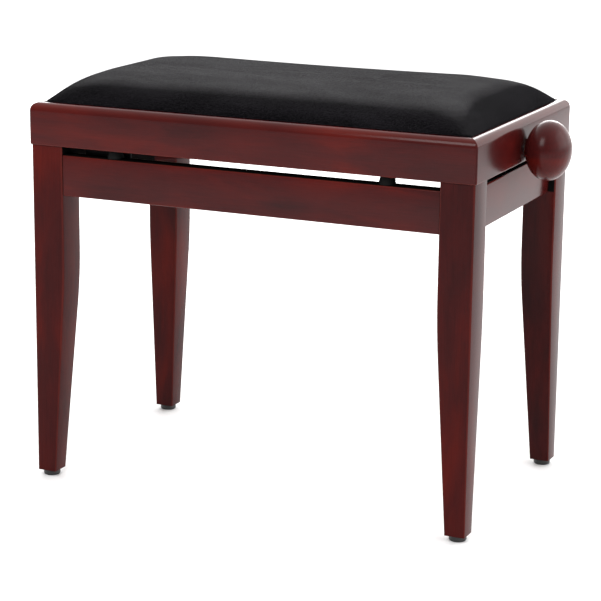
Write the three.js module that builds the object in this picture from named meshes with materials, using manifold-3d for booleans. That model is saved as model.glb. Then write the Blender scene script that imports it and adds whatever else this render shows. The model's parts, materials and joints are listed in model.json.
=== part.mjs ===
// Height-adjustable piano bench with a screw-driven scissor lift, drawn at its lowest seat.
// Millimetres, +Z up, the player sits on the -Y side, the hand knob is on the +X end.
import * as THREE from 'three';
import { mergeVertices } from 'three/addons/utils/BufferGeometryUtils.js';
import Module from 'manifold-3d';

const wasm = await Module();
wasm.setup();

// ---------------------------------------------------------------- driving dimensions
const GAP = 0.3;                    // what two touching pieces keep between them

// seat frame
const FRAME_LENGTH = 550;
const FRAME_DEPTH = 328;
const FRAME_BOTTOM = 404;
const RAIL_HEIGHT = 49;
const RAIL_THICKNESS = 22;
const RAIL_ROUND = 10;              // quarter round along the upper outer edge
const RABBET_START = 11.5;          // from the outer face to the step that holds the board
const RABBET_DROP = 12;
const ARRIS = 1.5;                  // sanded edge on the straight boards
const BOARD_THICKNESS = 10;
const CUSHION_INSET = 12.5;
const CUSHION_TOP = 481;

// stand
const OVERHANG = 2;                 // frame beyond the legs' outer faces
const LEG_TOP_SIZE = 40;
const LEG_FOOT_SIZE = 24;
const LEG_ROUND = 2.2;
const TAPER_START = 280;            // below this height the two inner faces draw in
const TAPER_EASE = 70;              // length of the soft curve at the start of the taper
const GLIDE_HEIGHT = 7;
const GLIDE_RADIUS = 10;
const APRON_BOTTOM = 346;
const APRON_TOP = 393.8;
const APRON_THICKNESS = 20;
const LONG_APRON_RECESS = 2;        // behind the legs' faces, front and rear
const SHORT_APRON_RECESS = 9;       // behind the legs' faces, left and right

// scissor lift
const ARM_REACH = 360;              // between an arm's end pivots
const ARM_HALF_WIDTH = 8;
const ARM_THICKNESS = 3;
const FIXED_PIVOT_X = 164;
const LOWER_PIVOT_Z = 406;
const UPPER_PIVOT_Z = 430;
const LIFT = 95;                    // how far the seat rises
const ROD_RADIUS = 4;
const PIN_HEAD = 6.5;               // radius of a pin's head
const HEAD_THICKNESS = 1.5;
const STEEL = 2;                    // thickness of the bent steel rails and brackets
const ARM_PLAY = 0.5;               // between an arm and its neighbour
const SLIDE_PLAY = 1;               // above and below a sliding pin
const CENTRE_PLAY = 1.2;            // around the centre pin where the linkage is open
const NUT_PLAY = 3.9;               // fore and aft play of the cross rod in the nut block

// spindle and knob
const SPINDLE_Z = 418.5;
const SPINDLE_RADIUS = 5;
const KNOB_RADIUS = 34;
const KNOB_HALF_LENGTH = 25.5;
const KNOB_TIP = 52;                // from the frame's end to the knob's tip
const KNOB_BACK = 2.5;              // from the frame's end to the knob's flat back
const KNOB_BORE = 24;               // depth of the blind bore
const BUSH_RADIUS = 7.7;

// ---------------------------------------------------------------- values that follow
const halfLength = FRAME_LENGTH / 2;
const halfDepth = FRAME_DEPTH / 2;
const frameTop = FRAME_BOTTOM + RAIL_HEIGHT;
const legX = halfLength - OVERHANG;
const legY = halfDepth - OVERHANG;
const legInnerX = legX - LEG_TOP_SIZE;
const legInnerY = legY - LEG_TOP_SIZE;
const longApronOuter = legY - LONG_APRON_RECESS;
const longApronInner = longApronOuter - APRON_THICKNESS;
const shortApronOuter = legX - SHORT_APRON_RECESS;
const shortApronInner = shortApronOuter - APRON_THICKNESS;
const cavityX = halfLength - RAIL_THICKNESS;
const cavityY = halfDepth - RAIL_THICKNESS;
const boardBottom = frameTop - RABBET_DROP + GAP;
const boardTop = boardBottom + BOARD_THICKNESS;

// planes of the lift, as distances from the middle plane y = 0
const baseRailOuter = longApronInner - GAP;
const bracketOuter = baseRailOuter - STEEL - GAP;
const bracketInner = bracketOuter - STEEL;
const armBOuter = bracketInner - ARM_PLAY;
const armBInner = armBOuter - ARM_THICKNESS;
const armAOuter = armBInner - ARM_PLAY;
const armAInner = armAOuter - ARM_THICKNESS;
const topRailOuter = cavityY - 2 * GAP;
const topRailInner = topRailOuter - STEEL;

// pivots at the lowest seat
const restRise = UPPER_PIVOT_Z - LOWER_PIVOT_Z;
const restAngle = Math.asin(restRise / ARM_REACH);
const topAngle = Math.asin((restRise + LIFT) / ARM_REACH);
const restSlideX = FIXED_PIVOT_X - ARM_REACH * Math.cos(restAngle);
const topSlideX = FIXED_PIVOT_X - ARM_REACH * Math.cos(topAngle);
const lowerFixed = [FIXED_PIVOT_X, LOWER_PIVOT_Z];
const upperFixed = [FIXED_PIVOT_X, UPPER_PIVOT_Z];
const lowerSliding = [restSlideX, LOWER_PIVOT_Z];
const upperSliding = [restSlideX, UPPER_PIVOT_Z];
const centrePivot = [(FIXED_PIVOT_X + restSlideX) / 2, (LOWER_PIVOT_Z + UPPER_PIVOT_Z) / 2];

// ---------------------------------------------------------------- materials
const finish = (color, roughness, metalness = 0) => ({ color, roughness, metalness });
const mahogany = finish(0x5c2723, 0.35);
const bareWood = finish(0xa88662, 0.8);
const plywood = finish(0xb49a72, 0.8);
const velour = finish(0x0c0c0e, 0.95);
const blackSteel = finish(0x16171a, 0.45, 0.6);
const zincSteel = finish(0x9a9da0, 0.35, 0.9);
const blackPlastic = finish(0x121212, 0.5);
const rubber = finish(0x1b1b1c, 0.8);
const brass = finish(0xb08d4a, 0.35, 0.9);

// ---------------------------------------------------------------- helpers
const bench = new THREE.Group();
bench.position.x = -KNOB_TIP / 2;   // the origin is under the middle of frame and knob together

function addPart(name, geometry, look) {
  const mesh = new THREE.Mesh(geometry, new THREE.MeshStandardMaterial(look));
  mesh.name = name;
  bench.add(mesh);
}

// A closed geometry as a manifold solid, and back.
function toSolid(geometry) {
  const bare = geometry.clone();
  bare.deleteAttribute('normal');
  bare.deleteAttribute('uv');
  const merged = mergeVertices(bare, 1e-4);
  return new wasm.Manifold(new wasm.Mesh({
    numProp: 3,
    vertProperties: new Float32Array(merged.attributes.position.array),
    triVerts: new Uint32Array(merged.index.array),
  }));
}

function toGeometry(solid) {
  const mesh = solid.getMesh();
  const geometry = new THREE.BufferGeometry();
  geometry.setAttribute('position', new THREE.BufferAttribute(new Float32Array(mesh.vertProperties), 3));
  geometry.setIndex(new THREE.BufferAttribute(new Uint32Array(mesh.triVerts), 1));
  return geometry;
}

function cut(geometry, ...tools) {
  let solid = toSolid(geometry);
  for (const tool of tools) solid = solid.subtract(toSolid(tool));
  return toGeometry(solid);
}

const join = (a, b) => toGeometry(toSolid(a).add(toSolid(b)));

// Straight extrusions: an outline in (y, z) along X, in (x, z) along Y, in (x, y) along Z.
// A curve gets twice this many steps; a full circle needs 16 to clear the rod inside it.
const extrude = (shape, depth) => new THREE.ExtrudeGeometry(shape,
  { depth, bevelEnabled: false, curveSegments: shape.holes.length ? 8 : 3 });

function alongX(shape, x0, x1) {
  const turn = new THREE.Matrix4().makeBasis(
    new THREE.Vector3(0, 1, 0), new THREE.Vector3(0, 0, 1), new THREE.Vector3(1, 0, 0));
  return extrude(shape, x1 - x0).applyMatrix4(turn).translate(x0, 0, 0);
}

function alongY(shape, y0, y1) {
  return extrude(shape, y1 - y0).rotateX(Math.PI / 2).translate(0, y1, 0);
}

const alongZ = (shape, z0, z1) => extrude(shape, z1 - z0).translate(0, 0, z0);

function box(x0, x1, y0, y1, z0, z1) {
  return new THREE.BoxGeometry(x1 - x0, y1 - y0, z1 - z0)
    .translate((x0 + x1) / 2, (y0 + y1) / 2, (z0 + z1) / 2);
}

function rodAlongY([x, z], radius, y0, y1, segments = 20) {
  return new THREE.CylinderGeometry(radius, radius, y1 - y0, segments).translate(x, (y0 + y1) / 2, z);
}

function rodAlongX(x0, x1, y, z, radius, segments = 24) {
  return new THREE.CylinderGeometry(radius, radius, x1 - x0, segments)
    .rotateZ(Math.PI / 2).translate((x0 + x1) / 2, y, z);
}

// A turned piece on the X axis: profile points are [along X, radius].
function turnedOnX(profile, z, segments = 32) {
  const points = profile.map(([along, radius]) => new THREE.Vector2(radius, along));
  return new THREE.LatheGeometry(points, segments).rotateZ(-Math.PI / 2).translate(0, 0, z);
}

function polygon(points) {
  return new THREE.Shape(points.map(([a, b]) => new THREE.Vector2(a, b)));
}

function roundedBoard(a0, a1, b0, b1, r) {
  const s = new THREE.Shape();
  s.moveTo(a0 + r, b0).lineTo(a1 - r, b0).absarc(a1 - r, b0 + r, r, -Math.PI / 2, 0, false);
  s.lineTo(a1, b1 - r).absarc(a1 - r, b1 - r, r, 0, Math.PI / 2, false);
  s.lineTo(a0 + r, b1).absarc(a0 + r, b1 - r, r, Math.PI / 2, Math.PI, false);
  s.lineTo(a0, b0 + r).absarc(a0 + r, b0 + r, r, Math.PI, 1.5 * Math.PI, false);
  return s;
}

// Rings of equal length, counter-clockwise from above and listed upwards, become one closed skin.
function loft(rings) {
  const count = rings[0].length;
  const positions = [];
  const faces = [];
  for (const ring of rings) for (const p of ring) positions.push(...p);
  for (let k = 0; k + 1 < rings.length; k++) {
    for (let i = 0; i < count; i++) {
      const a = k * count + i;
      const b = k * count + (i + 1) % count;
      faces.push(a, b, b + count, a, b + count, a + count);
    }
  }
  const last = (rings.length - 1) * count;
  for (let i = 1; i + 1 < count; i++) {
    faces.push(0, i + 1, i);
    faces.push(last, last + i, last + i + 1);
  }
  const geometry = new THREE.BufferGeometry();
  geometry.setAttribute('position', new THREE.Float32BufferAttribute(positions, 3));
  geometry.setIndex(faces);
  return geometry;
}

// One ring of a rectangle with rounded corners, at height z.
function roundedRing(x0, x1, y0, y1, r, z, steps) {
  const corners = [[x1 - r, y0 + r, -90], [x1 - r, y1 - r, 0], [x0 + r, y1 - r, 90], [x0 + r, y0 + r, 180]];
  return corners.flatMap(([cx, cy, start]) => Array.from({ length: steps + 1 }, (_, k) => {
    const t = THREE.MathUtils.degToRad(start + 90 * k / steps);
    return [cx + r * Math.cos(t), cy + r * Math.sin(t), z];
  }));
}

const sides = [['front', -1], ['rear', 1]];
const ends = [['left', -1], ['right', 1]];
const sorted = (a, b) => (a < b ? [a, b] : [b, a]);

// ---------------------------------------------------------------- stand: legs and glides
// Square above the taper; below it the two outer faces stay upright and the inner two draw in.
function legSize(z) {
  const below = Math.max(0, TAPER_START - z);
  const drop = LEG_TOP_SIZE - LEG_FOOT_SIZE;
  const slope = drop / (TAPER_START - GLIDE_HEIGHT - TAPER_EASE / 2);
  if (below < TAPER_EASE) return LEG_TOP_SIZE - slope * below * below / (2 * TAPER_EASE);
  return LEG_TOP_SIZE - slope * (below - TAPER_EASE / 2);
}

// The bolt that pulls a leg into its corner runs level, at 45 degrees, through the leg's inner edge.
const BOLT_Z = 357;
const BOLT_RADIUS = 3;
const BOLT_IN_LEG = 19;             // how far it reaches into the leg
const BOLT_NUT_THICKNESS = 5;
const BOLT_NUT_RADIUS = 6.5;        // over the corners
const BOLT_TAIL = 5;                // thread that shows behind the nut
const BLOCK_CORNER_SUM = 327;       // the block's slanted face is the line x + y = this
const BLOCK_BOTTOM = APRON_BOTTOM + 2;
const BASE_RAIL_BOTTOM = 366;       // the steel rails lie on top of the blocks
const boltFace = (legInnerX + legInnerY - BLOCK_CORNER_SUM) / Math.SQRT2;
const boltNutBack = boltFace + BOLT_NUT_THICKNESS + GAP;
const boltEnd = boltNutBack + BOLT_TAIL;

// A piece drawn along +X and centred on its axis is laid on the bolt's line at one corner;
// "from" is how far its end lies behind the leg's inner edge, towards the bench's middle.
function onBoltLine(geometry, sx, sy, from) {
  const back = from / Math.SQRT2;
  return geometry.rotateZ(Math.atan2(sy, sx))
    .translate(sx * (legInnerX - back), sy * (legInnerY - back), BOLT_Z);
}

// A hole for the bolt between two distances behind the leg's inner edge; a negative one is in the leg.
const boltHole = (sx, sy, from, to) =>
  onBoltLine(rodAlongX(0, from - to, 0, 0, BOLT_RADIUS + GAP, 16), sx, sy, from);

function legGeometry(sx, sy) {
  const heights = [GLIDE_HEIGHT];
  for (let k = 0; k <= 6; k++) heights.push(TAPER_START - TAPER_EASE + k * TAPER_EASE / 6);
  heights.push(FRAME_BOTTOM - GAP);
  const rings = heights.map((z) => {
    const [x0, x1] = sorted(sx * legX, sx * (legX - legSize(z)));
    const [y0, y1] = sorted(sy * legY, sy * (legY - legSize(z)));
    return roundedRing(x0, x1, y0, y1, LEG_ROUND, z, 3);
  });
  return cut(loft(rings), boltHole(sx, sy, 3, -BOLT_IN_LEG - 1));
}

const glideProfile = [[0, 0], [8, 0], [9.4, 0.6], [GLIDE_RADIUS, 2], [GLIDE_RADIUS, 5.4],
  [9, GLIDE_HEIGHT - GAP], [0, GLIDE_HEIGHT - GAP]];

function glideGeometry(sx, sy) {
  const inset = LEG_FOOT_SIZE / 2;
  return new THREE.LatheGeometry(glideProfile.map(([r, z]) => new THREE.Vector2(r, z)), 24)
    .rotateX(Math.PI / 2).translate(sx * (legX - inset), sy * (legY - inset), 0);
}

// ---------------------------------------------------------------- stand: aprons, blocks, bolts
function cornerBlockGeometry(sx, sy) {
  const x = shortApronInner - GAP;
  const y = longApronInner - GAP;
  const outline = [[x, BLOCK_CORNER_SUM - x], [x, legInnerY - GAP], [legInnerX - GAP, legInnerY - GAP],
    [legInnerX - GAP, y], [BLOCK_CORNER_SUM - y, y]];
  const placed = outline.map(([a, b]) => [sx * a, sy * b]);
  return cut(alongZ(polygon(placed), BLOCK_BOTTOM, BASE_RAIL_BOTTOM - GAP), boltHole(sx, sy, boltEnd, -5));
}

function legBoltGeometry(sx, sy) {
  const nut = new THREE.CylinderGeometry(BOLT_NUT_RADIUS, BOLT_NUT_RADIUS, BOLT_NUT_THICKNESS, 6)
    .rotateZ(Math.PI / 2).translate(BOLT_NUT_THICKNESS / 2, 0, 0);
  const shank = rodAlongX(0, boltEnd + BOLT_IN_LEG, 0, 0, BOLT_RADIUS, 16);
  return join(onBoltLine(shank, sx, sy, boltEnd), onBoltLine(nut, sx, sy, boltNutBack));
}

for (const [depthName, sy] of sides) {
  for (const [endName, sx] of ends) {
    const corner = `${depthName}_${endName}`;
    addPart(`leg_${corner}`, legGeometry(sx, sy), mahogany);
    addPart(`glide_${corner}`, glideGeometry(sx, sy), blackPlastic);
    addPart(`corner_block_${corner}`, cornerBlockGeometry(sx, sy), bareWood);
    addPart(`leg_bolt_${corner}`, legBoltGeometry(sx, sy), zincSteel);
  }
}

for (const [name, sy] of sides) {
  const [y0, y1] = sorted(sy * longApronInner, sy * longApronOuter);
  const reach = legInnerX - GAP;
  addPart(`apron_${name}`,
    alongX(roundedBoard(y0, y1, APRON_BOTTOM, APRON_TOP, ARRIS), -reach, reach), mahogany);
}

for (const [name, sx] of ends) {
  const [x0, x1] = sorted(sx * shortApronInner, sx * shortApronOuter);
  const reach = legInnerY - GAP;
  addPart(`apron_${name}`,
    alongY(roundedBoard(x0, x1, APRON_BOTTOM, APRON_TOP, ARRIS), -reach, reach), mahogany);
}

// ---------------------------------------------------------------- stand: steel rails and brackets
const BASE_RAIL_TOP = APRON_TOP - GAP;
const BASE_RAIL_FLANGE = 13;
const BRACKET_BOTTOM = 374;
const BRACKET_SHOULDER = 382;       // where the pivot bracket's foot starts to narrow
const BRACKET_NECK = 392;           // where it has narrowed to the eye's width
const BRACKET_FOOT_HALF = 18;
const SLOT_MARGIN = 20;             // metal beyond the slot's ends
const BUFFER_X = 168;
const BUFFER_TOP_RADIUS = 7.6;
const BUFFER_FOOT_RADIUS = 9.8;

// An L in (y, z): an upright web against the wood and a flange that points to the middle.
function angleOutline(sy, webOuter, webBottom, webTop, flangeInner, flangeZ) {
  const webInner = webOuter - STEEL;
  const low = flangeZ < (webBottom + webTop) / 2;
  const outline = low
    ? [[webOuter, webBottom], [webOuter, webTop], [webInner, webTop], [webInner, flangeZ + STEEL],
      [flangeInner, flangeZ + STEEL], [flangeInner, webBottom]]
    : [[webOuter, webBottom], [webOuter, webTop], [flangeInner, webTop], [flangeInner, flangeZ],
      [webInner, flangeZ], [webInner, webBottom]];
  return polygon(outline.map(([y, z]) => [sy * y, z]));
}

// The bracket's foot is broad, its ear narrow, and it ends in a round eye at the pivot.
function pivotBracketOutline() {
  const [x, z] = lowerFixed;
  const s = new THREE.Shape();
  const foot = BRACKET_FOOT_HALF;
  const neck = ARM_HALF_WIDTH;
  s.moveTo(x - foot, BRACKET_BOTTOM).lineTo(x + foot, BRACKET_BOTTOM).lineTo(x + foot, BRACKET_SHOULDER);
  s.lineTo(x + neck, BRACKET_NECK).lineTo(x + neck, z).absarc(x, z, neck, 0, Math.PI, false);
  s.lineTo(x - neck, BRACKET_NECK).lineTo(x - foot, BRACKET_SHOULDER);
  s.holes.push(new THREE.Path().absarc(x, z, ROD_RADIUS + GAP, 0, 2 * Math.PI, true));
  return s;
}

// A level slot between two centres.
function slot(x0, x1, z, r) {
  const p = new THREE.Path();
  p.moveTo(x0, z - r).absarc(x0, z, r, -Math.PI / 2, Math.PI / 2, true);
  p.lineTo(x1, z + r).absarc(x1, z, r, Math.PI / 2, -Math.PI / 2, true);
  p.lineTo(x0, z - r);
  return p;
}

function slideBracketOutline() {
  const s = roundedBoard(restSlideX - SLOT_MARGIN, topSlideX + SLOT_MARGIN,
    BRACKET_BOTTOM, LOWER_PIVOT_Z + SLOT_MARGIN / 2, SLOT_MARGIN / 4);
  s.holes.push(slot(restSlideX, topSlideX, LOWER_PIVOT_Z, ROD_RADIUS + SLIDE_PLAY));
  return s;
}

for (const [name, sy] of sides) {
  const railReach = legInnerX - 2;
  addPart(`base_rail_${name}`, alongX(
    angleOutline(sy, baseRailOuter, BASE_RAIL_BOTTOM, BASE_RAIL_TOP,
      baseRailOuter - BASE_RAIL_FLANGE, BASE_RAIL_BOTTOM), -railReach, railReach), blackSteel);
  const [y0, y1] = sorted(sy * bracketInner, sy * bracketOuter);
  addPart(`pivot_bracket_${name}`, alongY(pivotBracketOutline(), y0, y1), blackSteel);
  addPart(`slide_bracket_${name}`, alongY(slideBracketOutline(), y0, y1), blackSteel);

  // the lower fixed pin: a shank through bracket and arm, with a head outside the bracket
  const [p0, p1] = sorted(sy * (armAInner - 1.2), sy * (bracketOuter + 0.5));
  const [h0, h1] = sorted(sy * (bracketOuter + GAP), sy * (bracketOuter + GAP + HEAD_THICKNESS));
  addPart(`lower_pivot_pin_${name}`,
    join(rodAlongY(lowerFixed, ROD_RADIUS, p0, p1), rodAlongY(lowerFixed, PIN_HEAD, h0, h1)), zincSteel);

  for (const [endName, sx] of ends) {
    const height = FRAME_BOTTOM - APRON_TOP - 2 * GAP;
    const buffer = new THREE.CylinderGeometry(BUFFER_TOP_RADIUS, BUFFER_FOOT_RADIUS, height, 24)
      .rotateX(Math.PI / 2)
      .translate(sx * BUFFER_X, sy * (longApronOuter + longApronInner) / 2, APRON_TOP + GAP + height / 2);
    addPart(`buffer_${name}_${endName}`, buffer, rubber);
  }
}

// ---------------------------------------------------------------- seat frame
// The rail's section as [depth from the outer face, height above the rail's bottom].
function railSection() {
  const s = [];
  const arc = (cd, ch, r, from, to, steps) => {
    for (let k = 0; k <= steps; k++) {
      const t = THREE.MathUtils.degToRad(from + (to - from) * k / steps);
      s.push([cd + r * Math.cos(t), ch + r * Math.sin(t)]);
    }
  };
  arc(ARRIS, ARRIS, ARRIS, 270, 180, 2);
  arc(RAIL_ROUND, RAIL_HEIGHT - RAIL_ROUND, RAIL_ROUND, 180, 90, 6);
  s.push([RABBET_START, RAIL_HEIGHT]);
  s.push([RABBET_START, RAIL_HEIGHT - RABBET_DROP]);
  s.push([RAIL_THICKNESS, RAIL_HEIGHT - RABBET_DROP]);
  s.push([RAIL_THICKNESS, 0]);
  return s.reverse();
}

// A rail with mitred ends, along X at the front; its ends draw in as its depth grows.
function mitredRail(length) {
  const section = railSection();
  const count = section.length;
  const positions = [];
  for (const end of [-1, 1]) {
    for (const [d, h] of section) positions.push(end * (length / 2 - d - GAP / 2), d, h);
  }
  const faces = [];
  for (let i = 0; i < count; i++) {
    const j = (i + 1) % count;
    faces.push(i, j, count + j, i, count + j, count + i);
  }
  const outline = section.map(([d, h]) => new THREE.Vector2(d, h));
  for (const triangle of THREE.ShapeUtils.triangulateShape(outline, [])) {
    const corners = triangle.map((i) => outline[i]);
    const [a, b, c] = THREE.ShapeUtils.area(corners) > 0 ? triangle : [...triangle].reverse();
    faces.push(a, c, b, count + a, count + b, count + c);
  }
  const geometry = new THREE.BufferGeometry();
  geometry.setAttribute('position', new THREE.Float32BufferAttribute(positions, 3));
  geometry.setIndex(faces);
  return geometry;
}

const placedRail = (length, turn, distance) =>
  mitredRail(length).translate(0, -distance, FRAME_BOTTOM).rotateZ(turn);

const bushHole = rodAlongX(cavityX - 5, halfLength + 5, 0, SPINDLE_Z, BUSH_RADIUS + GAP, 32);
addPart('seat_rail_front', placedRail(FRAME_LENGTH, 0, halfDepth), mahogany);
addPart('seat_rail_rear', placedRail(FRAME_LENGTH, Math.PI, halfDepth), mahogany);
addPart('seat_rail_left', placedRail(FRAME_DEPTH, -Math.PI / 2, halfLength), mahogany);
addPart('seat_rail_right', cut(placedRail(FRAME_DEPTH, Math.PI / 2, halfLength), bushHole), mahogany);

const BOARD_PLAY = 0.5;             // all round, inside the rabbet
const boardX = halfLength - RABBET_START - BOARD_PLAY;
const boardY = halfDepth - RABBET_START - BOARD_PLAY;
addPart('seat_board', box(-boardX, boardX, -boardY, boardY, boardBottom, boardTop), plywood);

// The cushion as a plain crowned block with a flat top.
const CUSHION_CORNER = 15;
const CORNER_SPREAD = 0.3;          // how much a corner's radius grows as the rings draw in
function cushionGeometry() {
  const x = halfLength - CUSHION_INSET;
  const y = halfDepth - CUSHION_INSET;
  const foot = boardTop + GAP;
  const rise = CUSHION_TOP - foot;
  // share of the height, and how far the ring there draws in
  const steps = [[0, 0], [0.14, 0], [0.45, 9], [0.72, 22], [0.9, 38], [1, 56]];
  const rings = steps.map(([up, inset]) => {
    const radius = CUSHION_CORNER + inset * CORNER_SPREAD;
    return roundedRing(-x + inset, x - inset, -y + inset, y - inset, radius, foot + up * rise, 4);
  });
  return loft(rings);
}
addPart('cushion', cushionGeometry(), velour);

const TOP_RAIL_BOTTOM = 412;
const TOP_RAIL_TOP = boardBottom - GAP;
const TOP_RAIL_FLANGE = 20;
const TOP_RAIL_FLANGE_THICKNESS = 1.4;
const TOP_RAIL_REACH = 212;
const SEAT_BLOCK_LEG = 35;

for (const [name, sy] of sides) {
  const outline = angleOutline(sy, topRailOuter, TOP_RAIL_BOTTOM, TOP_RAIL_TOP,
    topRailOuter - TOP_RAIL_FLANGE, TOP_RAIL_TOP - TOP_RAIL_FLANGE_THICKNESS);
  const rail = alongX(outline, -TOP_RAIL_REACH, TOP_RAIL_REACH);
  const [y0, y1] = sorted(sy * (topRailInner - 2), sy * (topRailOuter + 2));
  addPart(`top_rail_${name}`, cut(rail, rodAlongY(upperFixed, ROD_RADIUS + GAP, y0, y1)), blackSteel);

  for (const [endName, sx] of ends) {
    const x = cavityX - GAP;
    const y = cavityY - GAP;
    const triangle = [[x, y], [x - SEAT_BLOCK_LEG, y], [x, y - SEAT_BLOCK_LEG]];
    addPart(`seat_block_${name}_${endName}`,
      alongZ(polygon(triangle.map(([a, b]) => [sx * a, sy * b])), FRAME_BOTTOM + 3, boardBottom - GAP),
      bareWood);
  }
}

const upperRodReach = topRailOuter - GAP;
addPart('upper_pivot_rod', rodAlongY(upperFixed, ROD_RADIUS, -upperRodReach, upperRodReach), zincSteel);

// A flanged bush, pressed into the right rail from inside.
const BUSH_FLANGE_RADIUS = 12;
const BUSH_FLANGE_THICKNESS = 3;
const bushSeat = cavityX - GAP;
const bushBack = bushSeat - BUSH_FLANGE_THICKNESS;
const bushBore = SPINDLE_RADIUS + GAP;
addPart('spindle_bush', turnedOnX([
  [bushBack, bushBore], [bushBack, BUSH_FLANGE_RADIUS], [bushSeat, BUSH_FLANGE_RADIUS],
  [bushSeat, BUSH_RADIUS], [halfLength, BUSH_RADIUS], [halfLength, bushBore],
  [bushBack, bushBore]], SPINDLE_Z), brass);

// ---------------------------------------------------------------- scissor arms
function armOutline([ax, az], [bx, bz], centreHole) {
  const along = Math.atan2(bz - az, bx - ax);
  const s = new THREE.Shape();
  const side = along + Math.PI / 2;
  s.moveTo(ax + ARM_HALF_WIDTH * Math.cos(side), az + ARM_HALF_WIDTH * Math.sin(side));
  s.absarc(ax, az, ARM_HALF_WIDTH, side, side + Math.PI, false);
  s.absarc(bx, bz, ARM_HALF_WIDTH, side + Math.PI, side + 2 * Math.PI, false);
  const holes = [[ax, az, ROD_RADIUS + GAP], [bx, bz, ROD_RADIUS + GAP], [...centrePivot, centreHole]];
  for (const [x, z, r] of holes) s.holes.push(new THREE.Path().absarc(x, z, r, 0, 2 * Math.PI, true));
  return s;
}

for (const [name, sy] of sides) {
  const [a0, a1] = sorted(sy * armAInner, sy * armAOuter);
  const [b0, b1] = sorted(sy * armBInner, sy * armBOuter);
  addPart(`inner_arm_${name}`,
    alongY(armOutline(lowerFixed, upperSliding, ROD_RADIUS + GAP), a0, a1), blackSteel);
  addPart(`outer_arm_${name}`,
    alongY(armOutline(upperFixed, lowerSliding, ROD_RADIUS + CENTRE_PLAY), b0, b1), blackSteel);

  // the centre pin: its head is on the inner arm's inner side
  const [c0, c1] = sorted(sy * (armAInner - HEAD_THICKNESS), sy * armBOuter);
  const [d0, d1] = sorted(sy * (armAInner - GAP - HEAD_THICKNESS), sy * (armAInner - GAP));
  addPart(`centre_pin_${name}`, join(rodAlongY(centrePivot, ROD_RADIUS, c0, c1),
    rodAlongY(centrePivot, PIN_HEAD, d0, d1)), zincSteel);

  // the sliding pin: a shank through arm and slot, with a head outside the bracket
  const [e0, e1] = sorted(sy * armBInner, sy * (bracketOuter + 0.8));
  const [f0, f1] = sorted(sy * (bracketOuter + GAP), sy * (bracketOuter + GAP + HEAD_THICKNESS));
  addPart(`slide_pin_${name}`, join(rodAlongY(lowerSliding, ROD_RADIUS, e0, e1),
    rodAlongY(lowerSliding, PIN_HEAD, f0, f1)), zincSteel);
}

const crossRodReach = armAOuter + GAP;
addPart('cross_rod', rodAlongY(upperSliding, ROD_RADIUS, -crossRodReach, crossRodReach), zincSteel);

// ---------------------------------------------------------------- nut block, spindle and knob
const NUT_HALF_WIDTH = 15;
const NUT_BOTTOM = 409.5;
const NUT_TOP = 438.5;
const STOP_NUT_RADIUS = 9.5;        // over the corners
const STOP_NUT_THICKNESS = 8;
const SPINDLE_TAIL = 18;            // beyond the nut block, with the stop nut on it
const CHAMFER = 1;
const nutLeft = restSlideX - 15;
const nutRight = restSlideX + 11;

// The slot for the cross rod runs level, from the play it needs on the left to the rod at rest.
function nutSlotOutline() {
  const r = ROD_RADIUS + SLIDE_PLAY;
  const x0 = restSlideX - NUT_PLAY + SLIDE_PLAY;
  const x1 = restSlideX;
  const s = new THREE.Shape();
  s.moveTo(x1, UPPER_PIVOT_Z - r).absarc(x1, UPPER_PIVOT_Z, r, -Math.PI / 2, Math.PI / 2, false);
  s.lineTo(x0, UPPER_PIVOT_Z + r).absarc(x0, UPPER_PIVOT_Z, r, Math.PI / 2, 1.5 * Math.PI, false);
  return s;
}

addPart('nut_block', cut(
  box(nutLeft, nutRight, -NUT_HALF_WIDTH, NUT_HALF_WIDTH, NUT_BOTTOM, NUT_TOP),
  rodAlongX(nutLeft - 2, nutRight + 2, 0, SPINDLE_Z, SPINDLE_RADIUS + GAP),
  alongY(nutSlotOutline(), -NUT_HALF_WIDTH - 2, NUT_HALF_WIDTH + 2)), zincSteel);

const spindleLeft = nutLeft - SPINDLE_TAIL;
const knobBoreEnd = halfLength + KNOB_BACK + KNOB_BORE;
addPart('spindle', turnedOnX([
  [spindleLeft, 0], [spindleLeft, SPINDLE_RADIUS - CHAMFER], [spindleLeft + CHAMFER, SPINDLE_RADIUS],
  [knobBoreEnd - CHAMFER, SPINDLE_RADIUS], [knobBoreEnd, SPINDLE_RADIUS - CHAMFER], [knobBoreEnd, 0],
], SPINDLE_Z, 24), zincSteel);

// The collar bears on the bush's flange and keeps the spindle from moving along.
const COLLAR_RADIUS = 9;
const COLLAR_LENGTH = 9;
const collarRight = bushBack - GAP;
const collarLeft = collarRight - COLLAR_LENGTH;
addPart('spindle_collar', turnedOnX([[collarLeft, bushBore], [collarLeft, COLLAR_RADIUS],
  [collarRight, COLLAR_RADIUS], [collarRight, bushBore], [collarLeft, bushBore]], SPINDLE_Z), zincSteel);

const stopNut = new THREE.CylinderGeometry(STOP_NUT_RADIUS, STOP_NUT_RADIUS, STOP_NUT_THICKNESS, 6)
  .rotateZ(Math.PI / 2).translate(nutLeft - STOP_NUT_THICKNESS / 2 - 1, 0, SPINDLE_Z);
addPart('stop_nut', cut(stopNut,
  rodAlongX(spindleLeft, nutLeft, 0, SPINDLE_Z, SPINDLE_RADIUS + GAP)), zincSteel);

// The knob is a flattened ball with a small flat back and a blind bore for the spindle.
function knobProfile() {
  const centre = KNOB_TIP - KNOB_HALF_LENGTH;
  const points = [[knobBoreEnd + GAP, 0], [knobBoreEnd + GAP, bushBore], [halfLength + KNOB_BACK, bushBore]];
  const start = Math.acos((KNOB_BACK - centre) / KNOB_HALF_LENGTH);
  const steps = 16;
  for (let k = 0; k < steps; k++) {
    const t = start * (1 - k / steps);
    points.push([halfLength + centre + KNOB_HALF_LENGTH * Math.cos(t), KNOB_RADIUS * Math.sin(t)]);
  }
  points.push([halfLength + KNOB_TIP, 0]);
  return points;
}
addPart('knob', turnedOnX(knobProfile(), SPINDLE_Z), mahogany);

export default bench;
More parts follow.
